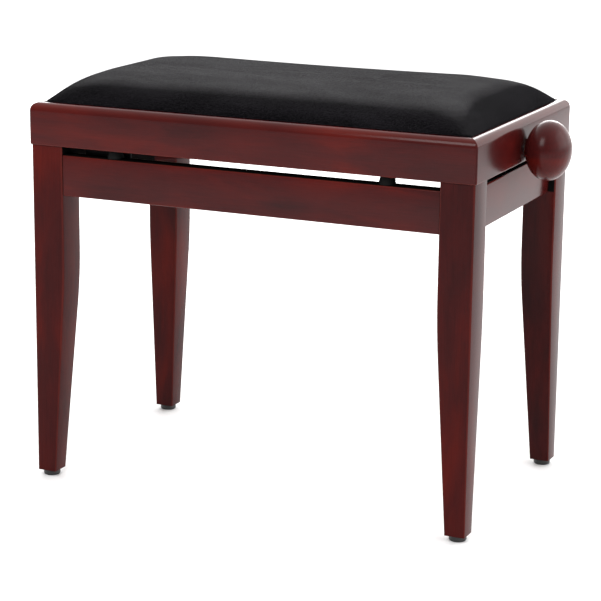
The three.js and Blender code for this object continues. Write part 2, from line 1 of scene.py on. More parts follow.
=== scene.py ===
# %% [markdown]
# # A height-adjustable piano bench
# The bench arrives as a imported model: sixty plain solids on six bodies, five of which move. This lesson
# keeps every size and place of that frame and makes the surfaces that a maker would recognise: stained and
# lacquered legs and rails, a velour cushion, a turned knob, and the painted and plated steel of the scissor
# lift. Everything is in metres, with +Z up, and the front is on the -Y side.

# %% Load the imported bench
import json
import math
import bmesh
import bpy
from mathutils import Matrix, Vector

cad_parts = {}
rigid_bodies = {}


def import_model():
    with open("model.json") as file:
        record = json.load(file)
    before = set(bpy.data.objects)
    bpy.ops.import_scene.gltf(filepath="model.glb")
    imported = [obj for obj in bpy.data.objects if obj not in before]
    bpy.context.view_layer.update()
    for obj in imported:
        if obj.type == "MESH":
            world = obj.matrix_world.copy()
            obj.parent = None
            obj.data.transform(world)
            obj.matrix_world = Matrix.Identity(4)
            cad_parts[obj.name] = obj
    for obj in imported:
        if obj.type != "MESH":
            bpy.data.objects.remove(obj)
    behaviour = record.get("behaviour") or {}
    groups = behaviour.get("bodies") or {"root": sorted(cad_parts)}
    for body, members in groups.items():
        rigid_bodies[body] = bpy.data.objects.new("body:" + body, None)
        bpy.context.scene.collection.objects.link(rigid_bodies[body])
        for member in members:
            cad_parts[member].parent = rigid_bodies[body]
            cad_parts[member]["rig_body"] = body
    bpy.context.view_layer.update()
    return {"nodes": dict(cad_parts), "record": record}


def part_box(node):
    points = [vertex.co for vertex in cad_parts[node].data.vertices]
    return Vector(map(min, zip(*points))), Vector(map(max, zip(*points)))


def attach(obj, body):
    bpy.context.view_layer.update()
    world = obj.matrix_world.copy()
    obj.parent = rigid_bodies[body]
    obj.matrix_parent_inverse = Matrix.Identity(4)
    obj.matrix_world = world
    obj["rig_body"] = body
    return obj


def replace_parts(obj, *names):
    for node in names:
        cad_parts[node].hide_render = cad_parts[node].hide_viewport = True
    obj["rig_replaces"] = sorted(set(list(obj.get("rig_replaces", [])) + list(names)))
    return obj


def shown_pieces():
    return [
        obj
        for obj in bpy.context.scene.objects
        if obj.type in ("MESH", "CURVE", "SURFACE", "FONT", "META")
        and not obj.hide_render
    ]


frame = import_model()
MM = 0.001
BODY_OF = {name: node["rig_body"] for name, node in frame["nodes"].items()}
SLOT_OF = {row["node"]: row["material_slot"] for row in frame["record"]["subparts"]}
ENDS = {"left": -1, "right": 1}
DEPTHS = {"front": -1, "rear": 1}
CORNERS = {f"{d}_{e}": (sx, sy) for d, sy in DEPTHS.items() for e, sx in ENDS.items()}
print(len(BODY_OF), "nodes on", sorted(set(BODY_OF.values())))

# %% [markdown]
# ## The camera
# The bench is seen from a little above seat height, from the front and towards its knob end, through a long
# lens. A camera can be aimed with a Track To constraint, or its rotation can be worked out once. The second
# is better here, because the camera is rolled by about half a degree, which a constraint would take away.

# %% Place the camera
CAMERA_AZIMUTH = math.radians(24.25)
CAMERA_ELEVATION = math.radians(14.1)
CAMERA_ROLL = math.radians(0.61)
CAMERA_DISTANCE = 2.376
LENS_MM = 126.5
CLIP_END = 100.0
AIM_SIDEWAYS = 0.0624               # from the seat's centre to the point that is looked at
AIM_FORWARDS = 0.1415
AIM_HEIGHT = 0.25
seat_low, seat_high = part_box("seat_board")
seat_centre = (seat_low + seat_high) / 2
aim = Vector((seat_centre.x + AIM_SIDEWAYS, seat_centre.y - AIM_FORWARDS, AIM_HEIGHT))

back = Vector((math.sin(CAMERA_AZIMUTH) * math.cos(CAMERA_ELEVATION),
               -math.cos(CAMERA_AZIMUTH) * math.cos(CAMERA_ELEVATION),
               math.sin(CAMERA_ELEVATION)))
camera = bpy.data.objects.new("camera", bpy.data.cameras.new("camera"))
bpy.context.scene.collection.objects.link(camera)
camera.data.lens = LENS_MM
camera.data.clip_end = CLIP_END
turn = (-back).to_track_quat("-Z", "Y").to_matrix() @ Matrix.Rotation(CAMERA_ROLL, 3, "Z")
camera.matrix_world = Matrix.Translation(aim + back * CAMERA_DISTANCE) @ turn.to_4x4()
bpy.context.scene.camera = camera
bpy.context.scene.view_settings.view_transform = "Standard"
print("camera", [round(v, 3) for v in camera.matrix_world.translation])

# %% [markdown]
# ## Small helpers for node trees
# Every finish below is a shader tree and every repeated part a geometry tree. Both are long to write out
# link by link, so one helper makes a node, sets its properties and fills or links its inputs in one call.

# %% A helper that adds a node
def add(tree, kind, inputs=None, **settings):
    """Adds a node; an input's value is a number, a colour, or the output socket that feeds it."""
    made = tree.nodes.new(kind)
    for key, value in settings.items():
        setattr(made, key, value)
    for key, value in (inputs or {}).items():
        if isinstance(value, bpy.types.NodeSocket):
            tree.links.new(value, made.inputs[key])
        else:
            made.inputs[key].default_value = value
    return made


def math_node(tree, operation, a, b=0.0, c=0.0):
    """One arithmetic step in a shader or geometry tree."""
    return add(tree, "ShaderNodeMath", {0: a, 1: b, 2: c}, operation=operation).outputs[0]


def ramp(tree, factor, stops):
    """A colour ramp through (position, colour) stops."""
    made = add(tree, "ShaderNodeValToRGB", {0: factor})
    elements = made.color_ramp.elements
    while len(elements) < len(stops):
        elements.new(0.5)
    for element, (position, colour) in zip(elements, stops):
        element.position = position
        element.color = (*colour, 1)
    return made.outputs[0]


def mix_colour(tree, factor, a, b, blend="MIX"):
    """Mixes two colours; the factor is clamped."""
    made = add(tree, "ShaderNodeMix", {0: factor, 6: a, 7: b}, data_type="RGBA", blend_type=blend)
    return made.outputs[2]


def noise(tree, vector, scale, detail=2.0, roughness=0.5, distortion=0.0):
    """Fractal noise between 0 and 1, at scale waves per metre of its vector."""
    return add(tree, "ShaderNodeTexNoise",
               {"Vector": vector, "Scale": scale, "Detail": detail, "Roughness": roughness,
                "Distortion": distortion}).outputs[0]


def new_finish(name, **constants):
    """A material with one Principled shader; constants go straight onto the shader's sockets."""
    material = bpy.data.materials.new(name)
    material.use_nodes = True
    shader = material.node_tree.nodes["Principled BSDF"]
    for key, value in constants.items():
        shader.inputs[key.replace("_", " ")].default_value = value
    return material, material.node_tree, shader


def object_place(tree):
    """Where a point lies in the CAD frame, because every finished piece sits at the origin."""
    return add(tree, "ShaderNodeTexCoord").outputs["Object"]


def stretched(tree, place, scale):
    """The same coordinates, drawn out along an axis where its scale is below one."""
    return add(tree, "ShaderNodeMapping", {"Vector": place, "Scale": scale}).outputs[0]


def normal_z(tree):
    """How far the surface faces up, from 1 for level to -1 for an underside."""
    normal = add(tree, "ShaderNodeNewGeometry").outputs["Normal"]
    return add(tree, "ShaderNodeSeparateXYZ", {0: normal}).outputs[2]


def surface(tree, shader, colour, roughness, height, strength, distance):
    """Feeds the shader its colour and roughness, and a bump from height that is distance metres deep."""
    tree.links.new(colour, shader.inputs["Base Color"])
    tree.links.new(roughness, shader.inputs["Roughness"])
    bump = add(tree, "ShaderNodeBump", {"Height": height, "Strength": strength, "Distance": distance})
    tree.links.new(bump.outputs[0], shader.inputs["Normal"])


print("helpers ready")

# %% [markdown]
# ## The wood finish
# The legs, aprons, rails and knob are a pale, even hardwood, stained dark red-brown and sprayed with satin
# lacquer. The stain takes unevenly, so the colour drifts in soft blotches that run with the grain, and fine
# streaks and short pores lie along it. The lacquer is a clear coat over that: smooth, and bright at a
# grazing angle. A wood photo could be wrapped round each board, but it would smear at the rounded edges.
# Noise in Object coordinates cuts through the board like real grain, so the pattern meets at every edge.
# Three copies of the finish differ in the way that their grain runs, in how much stain the wood took up and
# in how strongly their lacquer reflects.

# %% Stained and lacquered hardwood
GRAIN_STRETCH = 0.22                # across to along, for the blotches
FIBRE_STRETCH = 0.03                # and for the streaks and pores
BLOTCHES = 28.0                     # these five are in waves per metre
DRIFT = 6.5
STREAKS = 900.0
PORES = 1700.0
ORANGE_PEEL = 260.0
STAIN_DARK = (0.024, 0.0042, 0.0046)
STAIN_MIDDLE = (0.047, 0.0049, 0.0046)
STAIN_RED = (0.086, 0.0058, 0.0034)
STAIN_PLACES = (0.36, 0.52, 0.70)   # where these three sit on the ramp
# a paler red painted along the rounded edges: a painted highlight where they catch the light
PAINTED_EDGE_HIGHLIGHT = (0.11, 0.015, 0.010)
PORE_BROWN = (0.012, 0.003, 0.003)
PORE_STRENGTH = 0.45
TAKE_UP = {"X": 1.08, "Y": 1.0, "Z": 0.90}
FILM_INDEX = {"X": 1.23, "Y": 1.21, "Z": 1.16}
SPRAYED_ROUGHNESS = 0.16
WAXED_ROUGHNESS = 0.24
SATIN_ROUGHNESS = 0.34


def along_grain(along, stretch):
    """The mapping scale that draws a pattern out along one axis."""
    return [stretch if axis == along else 1.0 for axis in "XYZ"]


def stained_wood(name, along, film_roughness):
    material, tree, shader = new_finish(
        name, Coat_Weight=1.0, Coat_IOR=FILM_INDEX[along], Coat_Roughness=film_roughness,
        Specular_IOR_Level=0.0)
    place = object_place(tree)
    grain = stretched(tree, place, along_grain(along, GRAIN_STRETCH))
    patch = noise(tree, grain, BLOTCHES, 4.0, 0.58, 0.6)
    drift = noise(tree, place, DRIFT, 2.0, 0.5)
    depth = math_node(tree, "MULTIPLY_ADD", drift, 0.52, math_node(tree, "MULTIPLY", patch, 0.53))
    stains = [[TAKE_UP[along] * v for v in colour] for colour in (STAIN_DARK, STAIN_MIDDLE, STAIN_RED)]
    stain = ramp(tree, depth, list(zip(STAIN_PLACES, stains)))
    fibre = stretched(tree, place, along_grain(along, FIBRE_STRETCH))
    streak = noise(tree, fibre, STREAKS, 2.0, 0.6)
    pore = ramp(tree, noise(tree, fibre, PORES, 1.0, 0.5), [(0.66, (0, 0, 0)), (0.76, (1, 1, 1))])
    shade = math_node(tree, "MULTIPLY_ADD", streak, 0.5, 0.75)
    streaked = mix_colour(tree, 1.0, stain, shade, "MULTIPLY")
    pored = mix_colour(tree, math_node(tree, "MULTIPLY", pore, PORE_STRENGTH), streaked, (*PORE_BROWN, 1))
    # the rounded edges are painted paler here, a painted highlight along them
    wear = add(tree, "ShaderNodeAttribute", attribute_name="wear").outputs["Fac"]
    edge_highlight = math_node(tree, "MULTIPLY", wear, math_node(tree, "MULTIPLY_ADD", patch, 0.9, 0.1))
    colour = mix_colour(tree, edge_highlight, pored, (*PAINTED_EDGE_HIGHLIGHT, 1))
    roughness = math_node(tree, "MULTIPLY_ADD", streak, 0.18, SATIN_ROUGHNESS)
    height = math_node(tree, "MULTIPLY_ADD", pore, -0.6, streak)
    surface(tree, shader, colour, roughness, height, 0.10, 0.3 * MM)
    orange_peel = noise(tree, place, ORANGE_PEEL, 1.0, 0.4)
    film = math_node(tree, "MULTIPLY_ADD", streak, 0.25, orange_peel)
    over = add(tree, "ShaderNodeBump", {"Height": film, "Strength": 0.05, "Distance": 0.4 * MM})
    tree.links.new(over.outputs[0], shader.inputs["Coat Normal"])
    return material


WOOD = {along: stained_wood(f"stained_wood_along_{along.lower()}", along, SPRAYED_ROUGHNESS)
        for along in "XYZ"}
KNOB_WOOD = stained_wood("turned_and_waxed_wood", "X", WAXED_ROUGHNESS)
print("wood finishes", sorted(material.name for material in WOOD.values()), KNOB_WOOD.name)

# %% [markdown]
# ## Plain wood, steel, plastic, rubber and brass
# Under the seat the maker saves lacquer: its blocks and plywood are bare. The lift is black powder-coated
# steel, which has a fine pebbled skin, with zinc-plated pins, rods and bolts, which are bright with a faint
# crystalline cloudiness. Wood and plywood need a function each. Paint, plating, plastic, rubber and brass
# are all a cloudy colour over a fine skin, so they share one.

# %% Bare wood and plywood
def bare_wood():
    material, tree, shader = new_finish("bare_wood", Specular_IOR_Level=0.3)
    grain = stretched(tree, object_place(tree), (1, 1, 0.15))
    ring = noise(tree, grain, 90.0, 3.0, 0.6, 0.8)
    colour = ramp(tree, ring, [(0.3, (0.28, 0.165, 0.085)), (0.7, (0.46, 0.31, 0.18))])
    saw_mark = noise(tree, grain, 1400.0, 2.0, 0.7)
    surface(tree, shader, colour, math_node(tree, "MULTIPLY_ADD", saw_mark, 0.2, 0.65),
            saw_mark, 0.35, 0.4 * MM)
    return material


def plywood(layer_thickness):
    """Long figure on the faces and dark and pale layers on the edges, from bands along Z."""
    material, tree, shader = new_finish("plywood", Specular_IOR_Level=0.3)
    place = object_place(tree)
    figure = stretched(tree, place, (0.08, 1, 1))
    flame = noise(tree, figure, 45.0, 4.0, 0.6, 1.2)
    face = ramp(tree, flame, [(0.35, (0.40, 0.25, 0.13)), (0.65, (0.56, 0.39, 0.23))])
    height = add(tree, "ShaderNodeSeparateXYZ", {0: place}).outputs[2]
    layer = math_node(tree, "PINGPONG", height, layer_thickness)
    dark_layer = math_node(tree, "GREATER_THAN", layer, layer_thickness / 2)
    edge = mix_colour(tree, dark_layer, (0.50, 0.34, 0.19, 1), (0.27, 0.15, 0.08, 1))
    level = math_node(tree, "GREATER_THAN", math_node(tree, "ABSOLUTE", normal_z(tree)), 0.7)
    fibre = noise(tree, figure, 1500.0, 2.0, 0.6)
    surface(tree, shader, mix_colour(tree, level, edge, face),
            math_node(tree, "MULTIPLY_ADD", fibre, 0.2, 0.6), fibre, 0.2, 0.3 * MM)
    return material


BARE_WOOD = bare_wood()
PLY_LAYER = 1.6 * MM
PLYWOOD = plywood(PLY_LAYER)
print("bare finishes ready")

# %% Painted, plated and moulded finishes
EDGE_HIGHLIGHT_BRIGHTER = (1.6, 1.6, 1.6, 1)


def mottled(name, dark, pale, rough, grit, depth, scale=30.0, **constants):
    """A finish whose colour and roughness drift slowly, over a fine skin of grit waves per metre."""
    material, tree, shader = new_finish(name, **constants)
    place = object_place(tree)
    cloud = noise(tree, place, scale, 4.0, 0.6)
    colour = ramp(tree, cloud, [(0.3, dark), (0.7, pale)])
    # edges that carry a painted highlight value are painted brighter
    wear = add(tree, "ShaderNodeAttribute", attribute_name="wear").outputs["Fac"]
    brighter = mix_colour(tree, 1.0, colour, EDGE_HIGHLIGHT_BRIGHTER, "MULTIPLY")
    skin = noise(tree, place, grit, 2.0, 0.5)
    surface(tree, shader, mix_colour(tree, wear, colour, brighter),
            math_node(tree, "MULTIPLY_ADD", cloud, 0.16, rough), skin, depth, 0.3 * MM)
    return material


BLACK_STEEL = mottled("black_powder_coat", (0.004, 0.004, 0.0045), (0.008, 0.008, 0.009),
                      0.42, 2600.0, 0.25, Specular_IOR_Level=0.12)
ZINC = mottled("bright_zinc_plate", (0.40, 0.41, 0.42), (0.60, 0.61, 0.62),
               0.22, 900.0, 0.06, 220.0, Metallic=1.0)
GLIDE_PLASTIC = mottled("moulded_black_plastic", (0.008, 0.008, 0.008), (0.014, 0.013, 0.012),
                        0.38, 3500.0, 0.15, Specular_IOR_Level=0.5)
RUBBER = mottled("moulded_rubber", (0.003, 0.003, 0.003), (0.007, 0.007, 0.007),
                 0.55, 2800.0, 0.20, Specular_IOR_Level=0.06)
# a painted shade: black put on faces that lie in the dark gap under the seat
GAP_SHADE_BLACK = mottled("painted_gap_shade", (0.004, 0.0035, 0.0035), (0.008, 0.007, 0.007),
                     0.60, 1500.0, 0.15, Specular_IOR_Level=0.0)
BRASS = mottled("turned_brass", (0.52, 0.34, 0.13), (0.66, 0.46, 0.20),
                0.24, 1200.0, 0.08, 160.0, Metallic=1.0)
print("metal and moulded finishes ready")

# %% [markdown]
# ## Velour
# The cover is a short-pile velour. Seen along the surface its fibre flanks catch the light, which the
# shader's own sheen does. The sheen is one number on its socket, because the export drops a linked one.
# Where hands have brushed the pile it lies over in broad soft patches, and close up the tufts stand in fine
# rows, which the bump follows. The level top gets a paler base colour, a painted sheen for the grey that
# light at a grazing angle gives it, and the slopes keep the velour's own near-black. The way that the
# surface faces, read from its normal, tells the two apart.

# %% The velour finish
PILE_ROW = 1.1 * MM
ROWS_PER_WAVE = 0.318               # a wave texture has about three bands to one unit of its scale
SHEEN_TINT = (0.62, 0.62, 0.63, 1)
# the slopes show the velour's own near-black; the level top's paler colours are a painted sheen
VELOUR_BLACK = ((0.0003, 0.0003, 0.0004), (0.0125, 0.0115, 0.0135))
PAINTED_SHEEN_TOP = ((0.018, 0.017, 0.018), (0.064, 0.063, 0.065))
SLOPE_NORMAL = 0.90                 # below this upward part of the normal the velour keeps its own near-black
LEVEL_NORMAL = 0.99                 # and above this one the painted sheen is full
BRUSHED_SCALE = (0.45, 1, 1)
BRUSHED_PATCHES = 14.0
PILE_DEPTH = 1.4 * MM


def velour(row_pitch):
    material, tree, shader = new_finish(
        "black_velour", Sheen_Weight=0.10, Sheen_Roughness=0.14, Sheen_Tint=SHEEN_TINT,
        Specular_IOR_Level=0.0)
    place = object_place(tree)
    lay = noise(tree, stretched(tree, place, BRUSHED_SCALE), BRUSHED_PATCHES, 4.0, 0.62, 0.9)
    tuft = noise(tree, place, 0.45 / row_pitch, 3.0, 0.8)
    rows = add(tree, "ShaderNodeTexWave",
               {"Vector": place, "Scale": ROWS_PER_WAVE / row_pitch, "Distortion": 1.2, "Detail": 2.0,
                "Detail Scale": 1.5}, wave_type="BANDS", bands_direction="Y").outputs["Fac"]
    pile = math_node(tree, "MULTIPLY_ADD", rows, 0.35, tuft)
    shade = math_node(tree, "MULTIPLY_ADD", pile, 0.55, math_node(tree, "MULTIPLY", lay, 0.40))
    # the level top gets a paler base colour, a painted sheen, and the slopes keep the velour's own
    # near-black
    velour_black = ramp(tree, shade, [(0.42, VELOUR_BLACK[0]), (0.72, VELOUR_BLACK[1])])
    painted_sheen = ramp(tree, shade, [(0.40, PAINTED_SHEEN_TOP[0]), (0.72, PAINTED_SHEEN_TOP[1])])
    level = ramp(tree, normal_z(tree), [(SLOPE_NORMAL, (0, 0, 0)), (LEVEL_NORMAL, (1, 1, 1))])
    surface(tree, shader, mix_colour(tree, level, velour_black, painted_sheen),
            math_node(tree, "MULTIPLY_ADD", lay, 0.2, 0.72),
            math_node(tree, "MULTIPLY_ADD", lay, 1.5, pile), 1.0, PILE_DEPTH)
    return material


VELOUR = velour(PILE_ROW)
print("velour ready")

# %% [markdown]
# ## Skins from rings
# Most wooden pieces here are a section carried along a line: a leg grows thinner, a rail turns its corner, a
# knob is a section turned round. All of them can be written as rings of points joined by quads, with the two
# ends closed. Each ring point may carry a value for a painted highlight, which the finishes use to paint the
# edges paler. Short edge arcs carry it, and both ends of each flat carry none, so it can't bleed across a
# face.

# %% A mesh from rings of points
SHARP = math.radians(34)            # a steeper edge than this stays sharp
MERGE = 1e-7                        # ring points that lie on one spot are merged


def finish_mesh(piece):
    """Smooth shading with real edges kept sharp."""
    piece.data.shade_smooth()
    piece.data.set_sharp_from_angle(angle=SHARP)
    return piece


def new_piece(name, mesh):
    piece = bpy.data.objects.new(name, mesh)
    bpy.context.scene.collection.objects.link(piece)
    return piece


def from_bmesh(name, working, mesh_name=None):
    """Turns a bmesh into a finished piece and frees it."""
    mesh = bpy.data.meshes.new(mesh_name or name)
    working.to_mesh(mesh)
    working.free()
    return finish_mesh(new_piece(name, mesh))


def plain_copy(piece):
    """The piece's mesh as its modifiers leave it; the modifiers themselves are then removed."""
    graph = bpy.context.evaluated_depsgraph_get()
    mesh = bpy.data.meshes.new_from_object(piece.evaluated_get(graph))
    piece.modifiers.clear()
    return mesh


def skin(name, rings, wear=None, round_trip=False):
    """Rings of points joined by quads. round_trip joins the last ring to the first."""
    count = len(rings[0])
    last = len(rings) - 1
    faces = []
    for k in range(len(rings) if round_trip else last):
        here = k * count
        there = (k + 1) % len(rings) * count
        for i in range(count):
            j = (i + 1) % count
            faces.append((here + i, here + j, there + j, there + i))
    if not round_trip:
        faces.append(tuple(reversed(range(count))))
        faces.append(tuple(range(last * count, (last + 1) * count)))
    mesh = bpy.data.meshes.new(name)
    mesh.from_pydata([point for ring in rings for point in ring], [], faces)
    if wear is not None:
        values = mesh.attributes.new("wear", "FLOAT", "POINT")
        values.data.foreach_set("value", [w for row in wear for w in row])
    working = bmesh.new()
    working.from_mesh(mesh)
    bmesh.ops.remove_doubles(working, verts=working.verts, dist=MERGE)
    bmesh.ops.recalc_face_normals(working, faces=working.faces)
    working.to_mesh(mesh)
    working.free()
    return finish_mesh(new_piece(name, mesh))


def dress(piece, material, *nodes):
    """Gives a piece its material and lets it stand for CAD nodes, on their body."""
    piece.data.materials.clear()
    piece.data.materials.append(material)
    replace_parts(piece, *nodes)
    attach(piece, BODY_OF[nodes[0]])
    return piece


def arc(cx, cy, radius, start, end, steps):
    """Points on an arc, with a painted highlight value that is 0 at both ends and 1 in the middle."""
    points = []
    for k in range(steps + 1):
        share = k / steps
        angle = math.radians(start + (end - start) * share)
        wear = math.sin(math.pi * share)
        points.append((cx + radius * math.cos(angle), cy + radius * math.sin(angle), wear))
    return points


print("ring helpers ready")

# %% [markdown]
# ## The legs
# A leg is a square post. Its two outer faces are upright, and below the knee its two inner faces draw in,
# first on a soft curve and then straight, as a shaped template on a spindle moulder leaves them. It could be
# a box with a few loop cuts, but the shape is a rule: the width at each height. Geometry Nodes state that
# rule once. A line of points runs up the leg, a filleted square is carried along it at the width that the
# rule gives, and each section is then pushed so that its outer faces stay in line. The same tree with the
# other signs makes all four legs. Above the aprons' lower edge the legs' inner faces and their tops are
# painted black up to the top, a painted shade that keeps the joints and the gap under the seat dark.

# %% The leg as a rule
LEG_ROUND = 2.2 * MM
TAPER_START = 280 * MM
TAPER_EASE = 70 * MM
LEG_STEPS = 120
LEG_CORNER_STEPS = 5
HIGHLIGHT_SHARE = 0.7                  # how much of the corner round gets the painted highlight


def new_tree(name, inputs):
    """An empty geometry tree with named inputs, as {input name: output socket of the group input}."""
    tree = bpy.data.node_groups.new(name, "GeometryNodeTree")
    tree.interface.new_socket("Geometry", in_out="INPUT", socket_type="NodeSocketGeometry")
    tree.interface.new_socket("Geometry", in_out="OUTPUT", socket_type="NodeSocketGeometry")
    for label, kind in inputs.items():
        tree.interface.new_socket(label, in_out="INPUT", socket_type=f"NodeSocket{kind}")
    group = tree.nodes.new("NodeGroupInput")
    return tree, {socket.name: socket for socket in group.outputs if socket.name}


def end_tree(tree, geometry, material):
    """Realizes what the tree made, gives it its material and sends it out."""
    real = add(tree, "GeometryNodeRealizeInstances", {0: geometry}).outputs[0]
    painted = add(tree, "GeometryNodeSetMaterial", {"Geometry": real, "Material": material}).outputs[0]
    add(tree, "NodeGroupOutput", {0: painted})


def grow(name, tree, values):
    """Runs a tree with these input values and returns the result as a plain mesh piece."""
    seed = new_piece(name, bpy.data.meshes.new(name + "_seed"))
    modifier = seed.modifiers.new("tree", "NODES")
    modifier.node_group = tree
    for socket in tree.interface.items_tree:
        if socket.in_out == "INPUT" and socket.name in values:
            modifier[socket.identifier] = values[socket.name]
    seed.data = plain_copy(seed)
    seed.data.name = name
    return seed


def leg_tree():
    tree, value = new_tree("leg_rule", {
        "Foot": "Float", "Top": "Float", "Top Width": "Float", "Foot Width": "Float",
        "Corner Radius": "Float", "Taper Start": "Float", "Ease": "Float",
        "Outer X": "Float", "Outer Y": "Float", "Side X": "Float", "Side Y": "Float",
        "Material": "Material"})
    foot = add(tree, "ShaderNodeCombineXYZ", {2: value["Foot"]}).outputs[0]
    top = add(tree, "ShaderNodeCombineXYZ", {2: value["Top"]}).outputs[0]
    line = add(tree, "GeometryNodeCurvePrimitiveLine", {"Start": foot, "End": top}).outputs[0]
    line = add(tree, "GeometryNodeResampleCurve", {"Curve": line, "Count": LEG_STEPS}).outputs[0]
    section = add(tree, "GeometryNodeCurvePrimitiveQuadrilateral",
                  {"Width": value["Top Width"], "Height": value["Top Width"]}).outputs[0]
    section = add(tree, "GeometryNodeFilletCurve",
                  {"Curve": section, "Count": LEG_CORNER_STEPS, "Radius": value["Corner Radius"]},
                  mode="POLY").outputs[0]
    post = add(tree, "GeometryNodeCurveToMesh",
               {"Curve": line, "Profile Curve": section, "Fill Caps": True}).outputs[0]
    place = add(tree, "GeometryNodeInputPosition").outputs[0]
    xyz = add(tree, "ShaderNodeSeparateXYZ", {0: place}).outputs
    below = math_node(tree, "SUBTRACT", value["Taper Start"], xyz[2])
    below = math_node(tree, "MAXIMUM", below, 0.0)
    eased = math_node(tree, "MINIMUM", below, value["Ease"])
    curved = math_node(tree, "DIVIDE", math_node(tree, "MULTIPLY", eased, eased),
                       math_node(tree, "MULTIPLY", value["Ease"], 2.0))
    straight = math_node(tree, "SUBTRACT", below, eased)
    run = math_node(tree, "SUBTRACT", math_node(tree, "SUBTRACT", value["Taper Start"], value["Foot"]),
                    math_node(tree, "MULTIPLY", value["Ease"], 0.5))
    loss = math_node(tree, "SUBTRACT", value["Top Width"], value["Foot Width"])
    slope = math_node(tree, "DIVIDE", loss, run)
    drop = math_node(tree, "MULTIPLY", slope, math_node(tree, "ADD", curved, straight))
    width = math_node(tree, "SUBTRACT", value["Top Width"], drop)
    share = math_node(tree, "DIVIDE", width, value["Top Width"])
    half = math_node(tree, "MULTIPLY", width, 0.5)
    sides = {}
    for axis, letter in ((0, "X"), (1, "Y")):
        centre = math_node(tree, "SUBTRACT", value[f"Outer {letter}"],
                           math_node(tree, "MULTIPLY", value[f"Side {letter}"], half))
        sides[axis] = math_node(tree, "MULTIPLY_ADD", xyz[axis], share, centre)
    moved = add(tree, "ShaderNodeCombineXYZ", {0: sides[0], 1: sides[1], 2: xyz[2]}).outputs[0]
    nearest = math_node(tree, "MINIMUM", math_node(tree, "ABSOLUTE", xyz[0]),
                        math_node(tree, "ABSOLUTE", xyz[1]))
    flat_end = math_node(tree, "SUBTRACT", math_node(tree, "MULTIPLY", value["Top Width"], 0.5),
                         value["Corner Radius"])
    past = math_node(tree, "SUBTRACT", nearest, flat_end)
    # the corner rounds carry a painted highlight value, which the finish turns into paler edges
    pale_width = math_node(tree, "MULTIPLY", value["Corner Radius"], HIGHLIGHT_SHARE)
    edge_highlight = math_node(tree, "DIVIDE", past, pale_width)
    highlighted = add(tree, "GeometryNodeStoreNamedAttribute",
               {"Geometry": post, "Name": "wear", "Value": edge_highlight},
               data_type="FLOAT", domain="POINT").outputs[0]
    shaped = add(tree, "GeometryNodeSetPosition", {"Geometry": highlighted, "Position": moved}).outputs[0]
    end_tree(tree, shaped, value["Material"])
    return tree


LEG_RULE = leg_tree()
print("leg tree has", len(LEG_RULE.nodes), "nodes")

# %% Make the four legs
GLIDE_MARGIN = 2 * MM               # how far the foot stands out past the glide
SHADE_MARGIN = 2 * MM               # how far above the aprons' lower edge the painted black shade starts
FACING = 0.9                        # a face whose normal has this much of a direction faces that way


def make_leg(corner, sx, sy):
    low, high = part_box(f"leg_{corner}")
    glide_low, glide_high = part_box(f"glide_{corner}")
    piece = grow(f"turned_leg_{corner}", LEG_RULE, {
        "Foot": low.z, "Top": high.z,
        "Top Width": high.x - low.x, "Foot Width": glide_high.x - glide_low.x + 2 * GLIDE_MARGIN,
        "Corner Radius": LEG_ROUND, "Taper Start": TAPER_START, "Ease": TAPER_EASE,
        "Outer X": high.x if sx > 0 else low.x, "Outer Y": high.y if sy > 0 else low.y,
        "Side X": float(sx), "Side Y": float(sy), "Material": WOOD["Z"]})
    dress(finish_mesh(piece), WOOD["Z"], f"leg_{corner}")
    # inner faces and tops above the aprons' lower edge get the painted black shade
    piece.data.materials.append(GAP_SHADE_BLACK)
    apron_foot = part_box("apron_front")[0].z
    for polygon in piece.data.polygons:
        inner = -sx * polygon.normal.x > FACING or -sy * polygon.normal.y > FACING
        if polygon.center.z > apron_foot + SHADE_MARGIN and (inner or polygon.normal.z > FACING):
            polygon.material_index = 1
    return piece


for corner, (sx, sy) in CORNERS.items():
    made = make_leg(corner, sx, sy)
    print(made.name, len(made.data.polygons), "faces", [round(v, 4) for v in made.dimensions])

# %% [markdown]
# ## The aprons
# An apron is a planed board between two legs, with its four long edges sanded round. A cube with a Bevel
# modifier would do, but its ends would be rounded too, and they butt against the legs. So its section is
# written as four arcs and carried from end to end. An apron's upper edge and inner face are painted black,
# a painted shade for the dark gap under the seat, and that is a second material on those faces.

# %% Boards with rounded edges
APRON_ROUND = 1.5 * MM
EDGE_STEPS = 4


def rounded_section(a0, a1, b0, b1, radius):
    corners = [(a1 - radius, b0 + radius, -90), (a1 - radius, b1 - radius, 0),
               (a0 + radius, b1 - radius, 90), (a0 + radius, b0 + radius, 180)]
    points = []
    for ca, cb, start in corners:
        points += arc(ca, cb, radius, start, start + 90, EDGE_STEPS)
    return points


def board(name, low, high, along, radius):
    """A board from corner to corner, its section rounded and its length along X or Y."""
    axis = "XY".index(along)
    across = 1 - axis
    section = rounded_section(low[across], high[across], low.z, high.z, radius)
    rings = []
    for place in (low[axis], high[axis]):
        ring = []
        for a, z, _ in section:
            point = [0.0, 0.0, z]
            point[axis] = place
            point[across] = a
            ring.append(point)
        rings.append(ring)
    return skin(name, rings, [[w for *_, w in section]] * 2)


def make_apron(side, along):
    node = f"apron_{side}"
    low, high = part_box(node)
    inward = seat_centre - (low + high) / 2
    inward = Vector((inward.x, inward.y, 0)).normalized()
    piece = dress(board(f"planed_{node}", low, high, along, APRON_ROUND), WOOD[along], node)
    # the upper face and the inner face get the painted black shade
    piece.data.materials.append(GAP_SHADE_BLACK)
    for polygon in piece.data.polygons:
        if polygon.normal.z > FACING or polygon.normal.dot(inward) > FACING:
            polygon.material_index = 1
    return piece


for side in (*DEPTHS, *ENDS):
    made = make_apron(side, "X" if side in DEPTHS else "Y")
    print(made.name, [round(v, 4) for v in made.dimensions])

